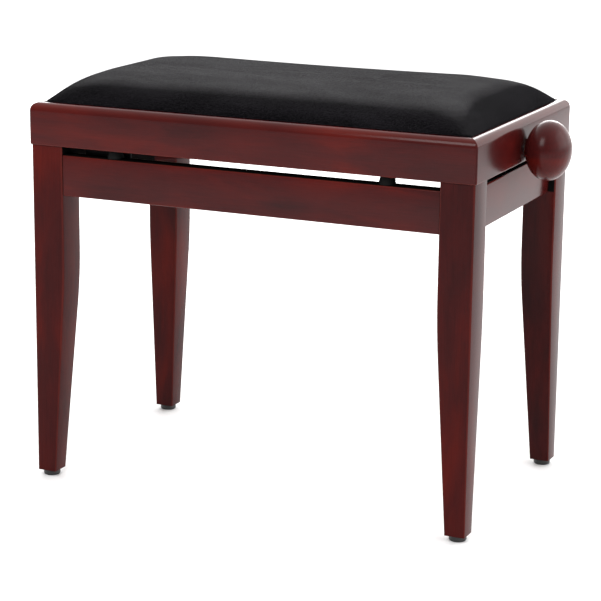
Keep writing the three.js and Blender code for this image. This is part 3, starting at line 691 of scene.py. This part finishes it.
# %% [markdown]
# ## The seat frame
# Four rails meet in mitres. Each has a broad quarter round along its upper outer edge, a small round at the
# lower one, and a step cut inside the top that the seat board drops into. The frame's upright corners are
# sanded round as well. That corner is easy if the rails are thought of as one section carried round a
# rectangle with rounded corners: a point that lies deeper than the corner's radius turns on the spot, and a
# point nearer the face takes a short arc. Each rail is the stretch from one mitre to the next.

# %% Carry the rail's section round the frame
RAIL_ROUND = 10 * MM
RAIL_ARRIS = 1.5 * MM
RABBET_START = 11.5 * MM
RABBET_DROP = 12 * MM
CORNER_ROUND = 3 * MM
MITRE_GAP = 0.06 * MM
CORNER_STEPS = 5
ROUND_STEPS = 14
ROUND_HIGHLIGHT = 0.5                    # the broad round gets half as strong a painted highlight as a narrow edge
QUARTER = {"front": 0, "right": 1, "rear": 2, "left": 3}


def rail_section(thickness, height):
    """(depth from the outer face, height, painted highlight), from the lower outer edge round over the top.
    """
    points = arc(RAIL_ARRIS, RAIL_ARRIS, RAIL_ARRIS, 270, 180, EDGE_STEPS)
    for depth, up, wear in arc(RAIL_ROUND, height - RAIL_ROUND, RAIL_ROUND, 180, 90, ROUND_STEPS):
        points.append((depth, up, ROUND_HIGHLIGHT * wear))
    points += [(RABBET_START, height, 0.0), (RABBET_START, height - RABBET_DROP, 0.0),
               (thickness, height - RABBET_DROP, 0.0), (thickness, 0.0, 0.0)]
    return points


def rail_path(depth, length):
    """The way round for one section point: (along, outwards) from one mitre to the other."""
    radius = max(0.0, CORNER_ROUND - depth)
    inset = max(depth, CORNER_ROUND)
    points = []
    for side, angles in ((-1, (225, 270)), (1, (270, 315))):
        centre = side * (length / 2 - inset)
        for along, out, wear in arc(centre, inset, radius, *angles, CORNER_STEPS):
            points.append((along - side * MITRE_GAP, out, wear))
    return points


def make_rail(side):
    node = f"seat_rail_{side}"
    low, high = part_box(node)
    runs_along_x = side in DEPTHS
    length = max(high.x - low.x, high.y - low.y)
    thickness = min(high.x - low.x, high.y - low.y)
    turned = Matrix.Rotation(QUARTER[side] * math.pi / 2, 4, "Z")
    placed = Matrix.Translation((seat_centre.x, seat_centre.y, low.z)) @ turned
    outer = {"front": low.y - seat_centre.y, "rear": seat_centre.y - high.y,
             "left": low.x - seat_centre.x, "right": seat_centre.x - high.x}[side]
    section = rail_section(thickness, high.z - low.z)
    rings = []
    wear = []
    for depth, up, highlight_value in section:
        path = rail_path(depth, length)
        rings.append([placed @ Vector((along, outer + out, up)) for along, out, _ in path])
        wear.append([highlight_value for _ in path])
    columns = list(zip(*rings))
    column_highlight = list(zip(*wear))
    piece = skin(f"mitred_rail_{side}", columns, column_highlight)
    return dress(piece, WOOD["X" if runs_along_x else "Y"], node)


for side in (*DEPTHS, *ENDS):
    made = make_rail(side)
    print(made.name, len(made.data.polygons), "faces", [round(v, 4) for v in made.dimensions])

# %% [markdown]
# ## The knob
# The knob is turned on a lathe from the same wood: a flattened ball with a small flat back where it meets
# its spindle. A subdivided sphere squashed on one axis comes close but has no back face. A half ellipse of
# rings is exact, and it is closed at its tip with a small last ring.

# %% Turn the knob
KNOB_SIDES = 96
KNOB_RINGS = 44
KNOB_BACK_ROUND = 0.8 * MM
KNOB_HALF_LENGTH = 25.5 * MM
KNOB_SOCKET = 12 * MM               # how deep the spindle goes into the knob
BORE_PLAY = 0.1 * MM
TIP_RADIUS = 0.05 * MM
knob_low, knob_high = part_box("knob")
spindle_low, spindle_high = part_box("spindle")
spindle_z = (spindle_low.z + spindle_high.z) / 2
spindle_y = (spindle_low.y + spindle_high.y) / 2
spindle_radius = (spindle_high.z - spindle_low.z) / 2


def circle(sides):
    """(cosine, sine) of each corner of a regular figure."""
    return [(math.cos(2 * math.pi * k / sides), math.sin(2 * math.pi * k / sides)) for k in range(sides)]


def make_knob():
    radius = (knob_high.z - knob_low.z) / 2
    centre = knob_high.x - KNOB_HALF_LENGTH
    bore = spindle_radius + BORE_PLAY
    start = math.acos((knob_low.x + KNOB_BACK_ROUND - centre) / KNOB_HALF_LENGTH)
    back_radius = radius * math.sin(start)
    profile = [(knob_low.x + KNOB_SOCKET, bore), (knob_low.x, bore),
               (knob_low.x, back_radius - KNOB_BACK_ROUND)]
    for k in range(KNOB_RINGS):
        angle = start * (1 - k / KNOB_RINGS)
        profile.append((centre + KNOB_HALF_LENGTH * math.cos(angle), radius * math.sin(angle)))
    profile.append((knob_high.x, TIP_RADIUS))
    rings = [[(x, spindle_y + r * c, spindle_z + r * s) for c, s in circle(KNOB_SIDES)] for x, r in profile]
    return skin("turned_knob", rings)


knob = dress(make_knob(), KNOB_WOOD, "knob")
print(knob.name, len(knob.data.polygons), "faces", [round(v, 4) for v in knob.dimensions])

# %% [markdown]
# ## Glides and buffers
# A glide is a moulded disc nailed under each leg, with a rounded rim so that it slides over a carpet edge. A
# buffer is a short rubber cone on the apron's edge that the lowered seat comes down on. Both are turned
# shapes, so each is a short profile carried round the Z axis.

# %% Mould the glides and buffers
ROUND_SIDES = 40
LOWER_STEPS = 5
UPPER_STEPS = 4
GLIDE_LOWER_ROUND = 1.8 * MM
GLIDE_UPPER_ROUND = 1.0 * MM
BUFFER_TAPER = 0.78
BUFFER_ROUND = 0.8 * MM


def make_turned(node, name, taper, low_round, high_round, material):
    """A disc or cone on an upright axis with its two rims rounded; taper is upper radius over lower."""
    low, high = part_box(node)
    centre = (low + high) / 2
    low_radius = (high.x - low.x) / 2
    high_radius = taper * low_radius
    profile = []
    for r, z, _ in arc(low_radius - low_round, low.z + low_round, low_round, -90, 0, LOWER_STEPS):
        profile.append((r, z))
    for r, z, _ in arc(high_radius - high_round, high.z - high_round, high_round, 0, 90, UPPER_STEPS):
        profile.append((r, z))
    rings = [[(centre.x + r * c, centre.y + r * s, z) for c, s in circle(ROUND_SIDES)] for r, z in profile]
    return dress(skin(name, rings), material, node)


for corner in CORNERS:
    glide = make_turned(f"glide_{corner}", f"moulded_glide_{corner}", 1.0, GLIDE_LOWER_ROUND,
                        GLIDE_UPPER_ROUND, GLIDE_PLASTIC)
    buffer = make_turned(f"buffer_{corner}", f"rubber_buffer_{corner}", BUFFER_TAPER, BUFFER_ROUND,
                         BUFFER_ROUND, RUBBER)
    print(glide.name, buffer.name, [round(v, 4) for v in buffer.dimensions])

# %% [markdown]
# ## The cushion
# A foam block is glued to the plywood, bevelled all round, and the velour is pulled over it and stapled
# under the board. So it slopes up from the frame in a full curve, and lies flat on top with a soft crease
# where the bevel meets the flat. It could be modelled to its last shape by hand. Instead it starts as a form
# of that kind, and a short cloth simulation with air pressure inside stretches the cover over it, which
# rounds the crease and the corners the way pulled cloth does. The rim that is stapled down is pinned.

# %% Shape the foam and pull the cover over it
FOOT_SPREAD = 1.7 * MM              # the cover rolls this far out over the frame's flat top
TUCK = 1.3 * MM                     # and goes back in by this much below it
LIP = 0.4 * MM                      # from the frame's top down to the tuck and up to the foot
SLOPE_X = 47 * MM                   # how wide the slope is at the ends
SLOPE_Y = 63 * MM                   # and at the front and rear
FULLNESS_X = (2.7, 1.08)            # exponents of the slope's curve, across and upwards
FULLNESS_Y = (2.05, 1.3)
FORM_STEPS = 30
FOOT_CORNER = 11 * MM
TOP_CORNER = 46 * MM
CROWN = 2.2 * MM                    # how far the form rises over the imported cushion's top
TUCK_DEPTH = 6 * MM
VOXEL = 4.0 * MM
SWELL_LIMIT = 2.0 * MM              # the cloth may move no point further than this
PULL = 4.0                          # the air pressure that stands for the foam's push
CLOTH_STEPS = 20
CLOTH_QUALITY = 6
HELD_HEIGHT = 3 * MM                # below this height over the cushion's foot the cover is pinned fully
FADE_HEIGHT = 4 * MM                # and over this further height the pins fade out


def rounded_rectangle(low, high, inset_x, inset_y, radius, z, steps=10):
    """A ring, counter-clockwise from above, with round corners."""
    x0, x1 = low.x + inset_x, high.x - inset_x
    y0, y1 = low.y + inset_y, high.y - inset_y
    points = []
    for cx, cy, start in ((x1 - radius, y0 + radius, -90), (x1 - radius, y1 - radius, 0),
                          (x0 + radius, y1 - radius, 90), (x0 + radius, y0 + radius, 180)):
        for k in range(steps + 1):
            t = math.radians(start + 90 * k / steps)
            points.append((cx + radius * math.cos(t), cy + radius * math.sin(t), z))
    return points


def slope_share(height_share, fullness):
    """How far in, from 0 at the foot to 1 at the crease, the slope is at this share of its height."""
    across, upwards = fullness
    return 1 - (1 - min(1.0, height_share ** upwards)) ** (1 / across)


def foam_rings(low, high, frame_top):
    tucked = TUCK - FOOT_SPREAD
    rings = [rounded_rectangle(low, high, tucked, tucked, FOOT_CORNER - TUCK, z)
             for z in (frame_top - TUCK_DEPTH, frame_top - LIP)]
    foot = frame_top + LIP
    for k in range(FORM_STEPS + 1):
        share = math.sin(math.pi / 2 * k / FORM_STEPS)
        inset_x = SLOPE_X * slope_share(share, FULLNESS_X) - FOOT_SPREAD
        inset_y = SLOPE_Y * slope_share(share, FULLNESS_Y) - FOOT_SPREAD
        corner_radius = FOOT_CORNER + (TOP_CORNER - FOOT_CORNER) * share
        z = foot + (high.z + CROWN - foot) * share
        rings.append(rounded_rectangle(low, high, inset_x, inset_y, corner_radius, z))
    return rings


def stretch_cover(piece, low):
    """Remeshes the form, inflates it as cloth with its rim pinned, and applies the result."""
    remesh = piece.modifiers.new("remesh", "REMESH")
    remesh.mode = "VOXEL"
    remesh.voxel_size = VOXEL
    piece.data = plain_copy(piece)
    before = [vertex.co.copy() for vertex in piece.data.vertices]
    rim = piece.vertex_groups.new(name="stapled_rim")
    for index, co in enumerate(before):
        held = 1.0 - min(1.0, max(0.0, (co.z - low.z - HELD_HEIGHT) / FADE_HEIGHT))
        if held > 0:
            rim.add([index], held, "REPLACE")
    cloth = piece.modifiers.new("cover", "CLOTH")
    cloth.settings.vertex_group_mass = "stapled_rim"
    cloth.settings.use_pressure = True
    cloth.settings.uniform_pressure_force = PULL
    cloth.settings.effector_weights.gravity = 0.0
    cloth.settings.quality = CLOTH_QUALITY
    cloth.point_cache.frame_start = 1
    cloth.point_cache.frame_end = CLOTH_STEPS
    scene = bpy.context.scene
    for step in range(1, CLOTH_STEPS + 1):
        scene.frame_set(step)
    swollen = plain_copy(piece)
    piece.vertex_groups.clear()
    for vertex, start in zip(swollen.vertices, before):
        move = vertex.co - start
        if move.length > SWELL_LIMIT:
            vertex.co = start + move * (SWELL_LIMIT / move.length)
    piece.data = swollen
    scene.frame_set(1)
    return piece


cushion_low, cushion_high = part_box("cushion")
frame_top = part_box("seat_rail_front")[1].z
foam = skin("velour_cushion", foam_rings(cushion_low, cushion_high, frame_top))
cushion = stretch_cover(foam, cushion_low)
print("cushion after the cover is pulled:", len(cushion.data.polygons), "faces",
      [round(v, 4) for v in cushion.dimensions])

# %% Smooth and place the cushion
RELAX_ROUNDS = 16
RELAX_FACTOR = 0.5
RELAX_FLOOR = 2 * MM                # the rim below this height over the frame isn't moved
TUCK_TOP = 0.3 * MM                 # the sides are held inside the frame up to this height over it


def relax(piece):
    """Averages neighbours to take the remesh's steps out, and keeps the rim in place."""
    working = bmesh.new()
    working.from_mesh(piece.data)
    for _ in range(RELAX_ROUNDS):
        free = [vertex for vertex in working.verts if vertex.co.z > frame_top + RELAX_FLOOR]
        bmesh.ops.smooth_vert(working, verts=free, factor=RELAX_FACTOR, use_axis_x=True, use_axis_y=True,
                              use_axis_z=True)
    working.to_mesh(piece.data)
    working.free()


relax(cushion)
subdivide = cushion.modifiers.new("subdivide", "SUBSURF")
subdivide.levels = 1
subdivide.render_levels = 1
cushion.data = plain_copy(cushion)
tuck_x = (cushion_high.x - cushion_low.x) / 2 + FOOT_SPREAD - TUCK
tuck_y = (cushion_high.y - cushion_low.y) / 2 + FOOT_SPREAD - TUCK
for vertex in cushion.data.vertices:
    if vertex.co.z < frame_top + TUCK_TOP:
        vertex.co.x = seat_centre.x + max(-tuck_x, min(tuck_x, vertex.co.x - seat_centre.x))
        vertex.co.y = seat_centre.y + max(-tuck_y, min(tuck_y, vertex.co.y - seat_centre.y))
top = max(vertex.co.z for vertex in cushion.data.vertices)
cushion.data.shade_smooth()
dress(cushion, VELOUR, "cushion")
print("cushion top at", round(top, 4), "for a box top at", round(cushion_high.z, 4))

# %% [markdown]
# ## The cover's folded edge
# Below the cushion's foot the velour goes down over the edge of the seat board and about 3 cm under it,
# where it is stapled. It is a thin band whose section is a narrow hook, carried once round the board.

# %% Fold the cover round the board
BAND_THICKNESS = 0.22 * MM
FOLD_OVER = 6 * MM
FOLD_UNDER = 28 * MM
OVER_GAP = 0.25 * MM                # between the band and the board's upper face
UNDER_GAP = 0.02 * MM               # and its lower face
SIDE_GAP = 0.04 * MM                # and its edge
NEAR_EDGE = 1 * MM                  # a loop less far in than this runs along the board's edge
EDGE_RADIUS = 2 * MM
INNER_RADIUS = 1 * MM


def cover_band(low, high):
    hook = [(FOLD_OVER, high.z + OVER_GAP), (0.0, high.z + OVER_GAP), (-SIDE_GAP, high.z - 0.5 * MM),
            (-SIDE_GAP, low.z + 0.3 * MM), (0.2 * MM, low.z - UNDER_GAP), (FOLD_UNDER, low.z - UNDER_GAP)]
    outside = [(inset - BAND_THICKNESS if inset < NEAR_EDGE else inset,
                z - BAND_THICKNESS if z < low.z else z + (BAND_THICKNESS if z > high.z else 0))
               for inset, z in reversed(hook)]
    loops = [rounded_rectangle(low, high, inset, inset, EDGE_RADIUS if inset < NEAR_EDGE else INNER_RADIUS,
                               z, EDGE_STEPS) for inset, z in hook + outside]
    return skin("velour_band", list(zip(*loops)), round_trip=True)


board_low, board_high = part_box("seat_board")
band = cover_band(board_low, board_high)
band.data.materials.append(VELOUR)
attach(band, BODY_OF["seat_board"])
print(band.name, len(band.data.polygons), "faces", [round(v, 4) for v in band.dimensions])

# %% [markdown]
# ## The steel and the blocks
# Brackets, arms, rails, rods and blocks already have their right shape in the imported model, but their
# edges are knife-sharp and their round parts are faceted. A real punched part has a slightly broken edge
# that catches a thin line of light. For each of these nodes a copy is merged into one skin, its flat
# triangles are dissolved into whole faces, and its sharp edges are given a small bevel. One loop does them
# all, with a bevel width and a material for each kind.

# %% Give the hardware broken edges
FINISH_OF_SLOT = {"black_steel": (BLACK_STEEL, 0.35 * MM), "zinc_steel": (ZINC, 0.3 * MM),
                  "bare_wood": (BARE_WOOD, 0.6 * MM), "plywood": (PLYWOOD, 0.4 * MM),
                  "brass": (BRASS, 0.3 * MM)}
WELD = 2e-6                         # the loose triangles' corners are merged within this distance
COPLANAR = math.radians(1)
BEVELLED = math.radians(40)


def with_broken_edges(node, width):
    """A merged and bevelled copy of a CAD node."""
    working = bmesh.new()
    working.from_mesh(frame["nodes"][node].data)
    bmesh.ops.remove_doubles(working, verts=working.verts, dist=WELD)
    bmesh.ops.dissolve_limit(working, angle_limit=COPLANAR, verts=working.verts, edges=working.edges)
    sharp = [edge for edge in working.edges
             if len(edge.link_faces) == 2 and edge.calc_face_angle() > BEVELLED]
    if sharp:
        bmesh.ops.bevel(working, geom=sharp, offset=width, segments=2, profile=0.5, affect="EDGES",
                        clamp_overlap=True)
    bmesh.ops.recalc_face_normals(working, faces=working.faces)
    return from_bmesh(f"finished_{node}", working, node)


REPLACED = {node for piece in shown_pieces() for node in piece.get("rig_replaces", [])}
for node in sorted(set(BODY_OF) - REPLACED - {"spindle"}):
    material, width = FINISH_OF_SLOT[SLOT_OF[node]]
    if node.startswith("corner_block"):
        material = WOOD["Z"]        # these are in place before the stand is stained
    dress(with_broken_edges(node, width), material, node)
print("hardware pieces finished:", len(BODY_OF) - len(REPLACED) - 1)

# %% [markdown]
# ## The spindle and its thread
# The spindle is a steel rod with a trapezoidal thread where the nut block travels. A thread can be faked
# with a bump, but its silhouette shows from below. In Geometry Nodes a spiral curve turns once per lead, and
# a small trapezoid carried along it makes the ridge, which sinks a little into a core of its root diameter.

# %% Cut the thread
THREAD_LEAD = 2 * MM
THREAD_DEPTH = 0.9 * MM
THREAD_LENGTH = 110 * MM
END_CHAMFER = 1 * MM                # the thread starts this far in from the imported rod's end
RIDGE_FOOT = 0.62                   # the ridge's widths, as shares of the lead
RIDGE_CREST = 0.34
STEPS_PER_TURN = 20
CORE_SIDES = 32
SHANK_SIDES = 48
LYING = (0, math.pi / 2, 0)


def thread_tree():
    tree, value = new_tree("spindle_thread", {
        "Start X": "Float", "End X": "Float", "Thread End X": "Float", "Centre Y": "Float",
        "Centre Z": "Float", "Radius": "Float", "Depth": "Float", "Lead": "Float", "Material": "Material"})
    length = math_node(tree, "SUBTRACT", value["Thread End X"], value["Start X"])
    turns = math_node(tree, "DIVIDE", length, value["Lead"])
    root = math_node(tree, "SUBTRACT", value["Radius"], value["Depth"])
    spiral = add(tree, "GeometryNodeCurveSpiral",
                 {"Resolution": STEPS_PER_TURN, "Rotations": turns, "Start Radius": root, "End Radius": root,
                  "Height": length}).outputs[0]
    ridge = add(tree, "GeometryNodeCurvePrimitiveQuadrilateral",
                {"Bottom Width": math_node(tree, "MULTIPLY", value["Lead"], RIDGE_FOOT),
                 "Top Width": math_node(tree, "MULTIPLY", value["Lead"], RIDGE_CREST),
                 "Height": math_node(tree, "MULTIPLY", value["Depth"], 2.0), "Offset": 0.0},
                mode="TRAPEZOID").outputs[0]
    thread = add(tree, "GeometryNodeCurveToMesh",
                 {"Curve": spiral, "Profile Curve": ridge, "Fill Caps": True}).outputs[0]
    core = add(tree, "GeometryNodeMeshCylinder",
               {"Vertices": CORE_SIDES, "Radius": root, "Depth": length}).outputs[0]
    shank_length = math_node(tree, "SUBTRACT", value["End X"], value["Thread End X"])
    shank = add(tree, "GeometryNodeMeshCylinder",
                {"Vertices": SHANK_SIDES, "Radius": value["Radius"], "Depth": shank_length}).outputs[0]
    core_middle = math_node(tree, "MULTIPLY_ADD", length, 0.5, value["Start X"])
    shank_middle = math_node(tree, "MULTIPLY_ADD", shank_length, 0.5, value["Thread End X"])
    together = add(tree, "GeometryNodeJoinGeometry")
    for part, x in ((thread, value["Start X"]), (core, core_middle), (shank, shank_middle)):
        at = add(tree, "ShaderNodeCombineXYZ",
                 {0: x, 1: value["Centre Y"], 2: value["Centre Z"]}).outputs[0]
        laid = add(tree, "GeometryNodeTransform",
                   {"Geometry": part, "Translation": at, "Rotation": LYING}).outputs[0]
        tree.links.new(laid, together.inputs[0])
    end_tree(tree, together.outputs[0], value["Material"])
    return tree


spindle = grow("threaded_spindle", thread_tree(), {
    "Start X": spindle_low.x + END_CHAMFER, "End X": spindle_high.x,
    "Thread End X": spindle_low.x + THREAD_LENGTH, "Centre Y": spindle_y, "Centre Z": spindle_z,
    "Radius": spindle_radius, "Depth": THREAD_DEPTH, "Lead": THREAD_LEAD, "Material": ZINC})
dress(finish_mesh(spindle), ZINC, "spindle")
print(spindle.name, len(spindle.data.polygons), "faces", [round(v, 4) for v in spindle.dimensions])

# %% [markdown]
# ## Screws and rivets
# The base rails are screwed to the aprons and the top rails to the seat board, the brackets are riveted to
# the base rails, and the cover is stapled under the board. These repeat in straight, evenly spaced rows, so
# one tree makes a row: points on a line from a first to a last one, and a head on each point, all turned the
# same way. Each head is modelled once as a small mesh: a low dome with a recess, a plain dome or a staple's
# crown.

# %% Model the heads
HEAD_SIDES = 16
DOME = ((1.0, 0.0), (1.0, 0.25), (0.86, 0.62), (0.62, 0.86), (0.34, 0.97))    # shares of radius and height
RECESS_DEPTH = 0.55                 # as a share of the height


def head_mesh(name, radius, height, recess):
    """A low dome on the Z axis, with a recess if its rim has a width."""
    working = bmesh.new()
    rings = [[working.verts.new((share * radius * c, share * radius * s, up * height))
              for c, s in circle(HEAD_SIDES)] for share, up in DOME]
    for lower, upper in zip(rings, rings[1:]):
        for k in range(HEAD_SIDES):
            j = (k + 1) % HEAD_SIDES
            working.faces.new((lower[k], lower[j], upper[j], upper[k]))
    working.faces.new(list(reversed(rings[0])))
    crown = working.faces.new(rings[-1])
    if recess:
        bmesh.ops.inset_individual(working, faces=[crown], thickness=recess, depth=0.0)
        bmesh.ops.translate(working, verts=list(crown.verts), vec=(0, 0, -RECESS_DEPTH * height))
    return from_bmesh(name, working)


def staple_mesh(name, length, width, height):
    """The crown of a staple, along X, lying on Z = 0."""
    working = bmesh.new()
    bmesh.ops.create_cube(working, size=1.0)
    bmesh.ops.scale(working, verts=working.verts, vec=(length, width, height))
    bmesh.ops.translate(working, verts=working.verts, vec=(0, 0, height / 2))
    upper = [edge for edge in working.edges if all(vertex.co.z > height / 2 for vertex in edge.verts)]
    bmesh.ops.bevel(working, geom=upper, offset=0.3 * height, segments=2, affect="EDGES")
    return from_bmesh(name, working)


WOOD_SCREW = head_mesh("wood_screw_head", 3.6 * MM, 2.2 * MM, 0.5 * MM)
SMALL_SCREW = head_mesh("small_screw_head", 2.7 * MM, 1.7 * MM, 0.4 * MM)
RIVET = head_mesh("rivet_head", 3.2 * MM, 1.2 * MM, 0.0)
STAPLE = staple_mesh("staple", 10 * MM, 1.1 * MM, 0.6 * MM)


def row_tree():
    tree, value = new_tree("fastener_row", {
        "First": "Vector", "Last": "Vector", "Count": "Int", "Turn": "Vector", "Head": "Object",
        "Material": "Material"})
    line = add(tree, "GeometryNodeMeshLine",
               {"Count": value["Count"], "Start Location": value["First"], "Offset": value["Last"]},
               mode="END_POINTS").outputs[0]
    head = add(tree, "GeometryNodeObjectInfo", {"Object": value["Head"]}).outputs["Geometry"]
    turn = add(tree, "FunctionNodeEulerToRotation", {0: value["Turn"]}).outputs[0]
    row = add(tree, "GeometryNodeInstanceOnPoints",
              {"Points": line, "Instance": head, "Rotation": turn}).outputs[0]
    end_tree(tree, row, value["Material"])
    return tree


ROW_TREE = row_tree()
print("row tree has", len(ROW_TREE.nodes), "nodes")

# %% Set the rows
STEEL = 2 * MM                      # the base rails' sheet
FLANGE_HALF = 3.2 * MM              # from the top rail's edge to the line of its screws
FLANGE_TOP = 1.4 * MM               # from the flange's under face to the seat board
SCREW_HEIGHT = 12 * MM
RIVET_HEIGHT = 6 * MM
RIVET_MARGIN = 9 * MM
SCREW_CLEARANCE = 14 * MM
TOP_RAIL_MARGIN = 25 * MM
STAPLE_MARGIN = 20 * MM
STAPLE_REACH = 98 * MM
CLOTH_GAP = 0.02 * MM


def fastener_row(first, last, count, turn, head, material):
    return grow("row", ROW_TREE, {"First": first, "Last": last, "Count": count, "Turn": turn,
                                  "Head": head, "Material": material})


def joined(name, rows, body, material):
    """Joins rows of fasteners into one plain mesh that rides on one body."""
    working = bmesh.new()
    for row in rows:
        working.from_mesh(row.data)
        bpy.data.objects.remove(row)
    piece = from_bmesh(name, working)
    piece.data.materials.append(material)
    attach(piece, body)
    return piece


stand_rows = []
seat_rows = []
for depth, sy in DEPTHS.items():
    low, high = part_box(f"base_rail_{depth}")
    web = high.y - STEEL if sy > 0 else low.y + STEEL
    z = low.z + SCREW_HEIGHT
    inward = (math.pi / 2 * sy, 0, 0)
    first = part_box(f"slide_bracket_{depth}")[1].x + SCREW_CLEARANCE
    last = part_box(f"pivot_bracket_{depth}")[0].x - SCREW_CLEARANCE
    stand_rows.append(fastener_row((first, web, z), (last, web, z), 4, inward, WOOD_SCREW, ZINC))
    for bracket in ("pivot_bracket", "slide_bracket"):
        low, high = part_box(f"{bracket}_{depth}")
        face = low.y if sy > 0 else high.y
        z = low.z + RIVET_HEIGHT
        stand_rows.append(fastener_row((low.x + RIVET_MARGIN, face, z), (high.x - RIVET_MARGIN, face, z), 2,
                                       inward, RIVET, ZINC))
    low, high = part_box(f"top_rail_{depth}")
    y = low.y + FLANGE_HALF if sy > 0 else high.y - FLANGE_HALF
    z = high.z - FLANGE_TOP
    seat_rows.append(fastener_row((low.x + TOP_RAIL_MARGIN, y, z), (high.x - TOP_RAIL_MARGIN, y, z), 5,
                                  (math.pi, 0, 0), SMALL_SCREW, ZINC))
z = board_low.z - BAND_THICKNESS - CLOTH_GAP
for sx in ENDS.values():
    x = seat_centre.x + sx * ((board_high.x - board_low.x) / 2 - STAPLE_MARGIN)
    first = (x, seat_centre.y - STAPLE_REACH, z)
    last = (x, seat_centre.y + STAPLE_REACH, z)
    seat_rows.append(fastener_row(first, last, 8, (math.pi, 0, math.pi / 2), STAPLE, ZINC))
stand_screws = joined("stand_screws_and_rivets", stand_rows, "stand", ZINC)
seat_screws = joined("seat_screws_and_staples", seat_rows, "seat", ZINC)
for head in (WOOD_SCREW, SMALL_SCREW, RIVET, STAPLE):
    bpy.data.objects.remove(head)
for made in (stand_screws, seat_screws):
    print(made.name, len(made.data.polygons), "faces")

# %% [markdown]
# ## Floor and light
# The bench stands on a plain pale floor that is large enough to fill every view. The light is a soft studio:
# a bright sky behind, so that the lacquer on the knob end shines at a grazing angle, and a darker one in
# front, so that the front faces keep their deep red. Three softboxes add a key from the front, a fill from
# the right and a broad window behind.

# %% The floor
FLOOR_RADIUS = 30.0
FLOOR_SIDES = 96
PALE = (0.86, 0.86, 0.86, 1)
working = bmesh.new()
bmesh.ops.create_circle(working, cap_ends=True, segments=FLOOR_SIDES, radius=FLOOR_RADIUS)
floor = from_bmesh("floor", working)
floor.data.materials.append(
    new_finish("pale_floor", Specular_IOR_Level=0.0, Roughness=1.0, Base_Color=PALE)[0])
print("floor", FLOOR_RADIUS, "m in radius")

# %% The lights
SKY_STRENGTH = 2.1
SKY_FRONT = (0.16, 0.16, 0.165)
SKY_REAR = (1.0, 1.0, 1.0)


def softbox(name, place, aim, width, depth, power):
    light = bpy.data.lights.new(name, "AREA")
    light.shape = "RECTANGLE"
    light.size = width
    light.size_y = depth
    light.energy = power
    lamp = bpy.data.objects.new(name, light)
    bpy.context.scene.collection.objects.link(lamp)
    facing = (Vector(aim) - Vector(place)).to_track_quat("-Z", "Y").to_matrix().to_4x4()
    lamp.matrix_world = Matrix.Translation(place) @ facing
    lamp.visible_camera = False


softbox("front_key", (-0.1, -2.0, 2.1), (0, 0, 0.25), 1.2, 1.2, 38)
softbox("right_rear_fill", (2.3, 1.0, 1.4), (0, 0, 0.3), 1.8, 1.8, 16)
softbox("rear_window", (-1.2, 2.7, 1.1), (0, 0, 0.4), 2.6, 1.4, 60)

world = bpy.data.worlds.new("studio")
bpy.context.scene.world = world
world.use_nodes = True
sky = world.node_tree
direction = add(sky, "ShaderNodeTexCoord").outputs["Generated"]
parts = add(sky, "ShaderNodeSeparateXYZ", {0: direction}).outputs
to_rear = math_node(sky, "MULTIPLY_ADD", parts[1], 0.95, math_node(sky, "MULTIPLY", parts[0], 0.1))
glow = ramp(sky, math_node(sky, "MULTIPLY_ADD", to_rear, 0.5, 0.5),
            [(0.15, SKY_FRONT), (0.70, SKY_REAR)])
sky.links.new(glow, sky.nodes["Background"].inputs["Color"])
sky.nodes["Background"].inputs["Strength"].default_value = SKY_STRENGTH
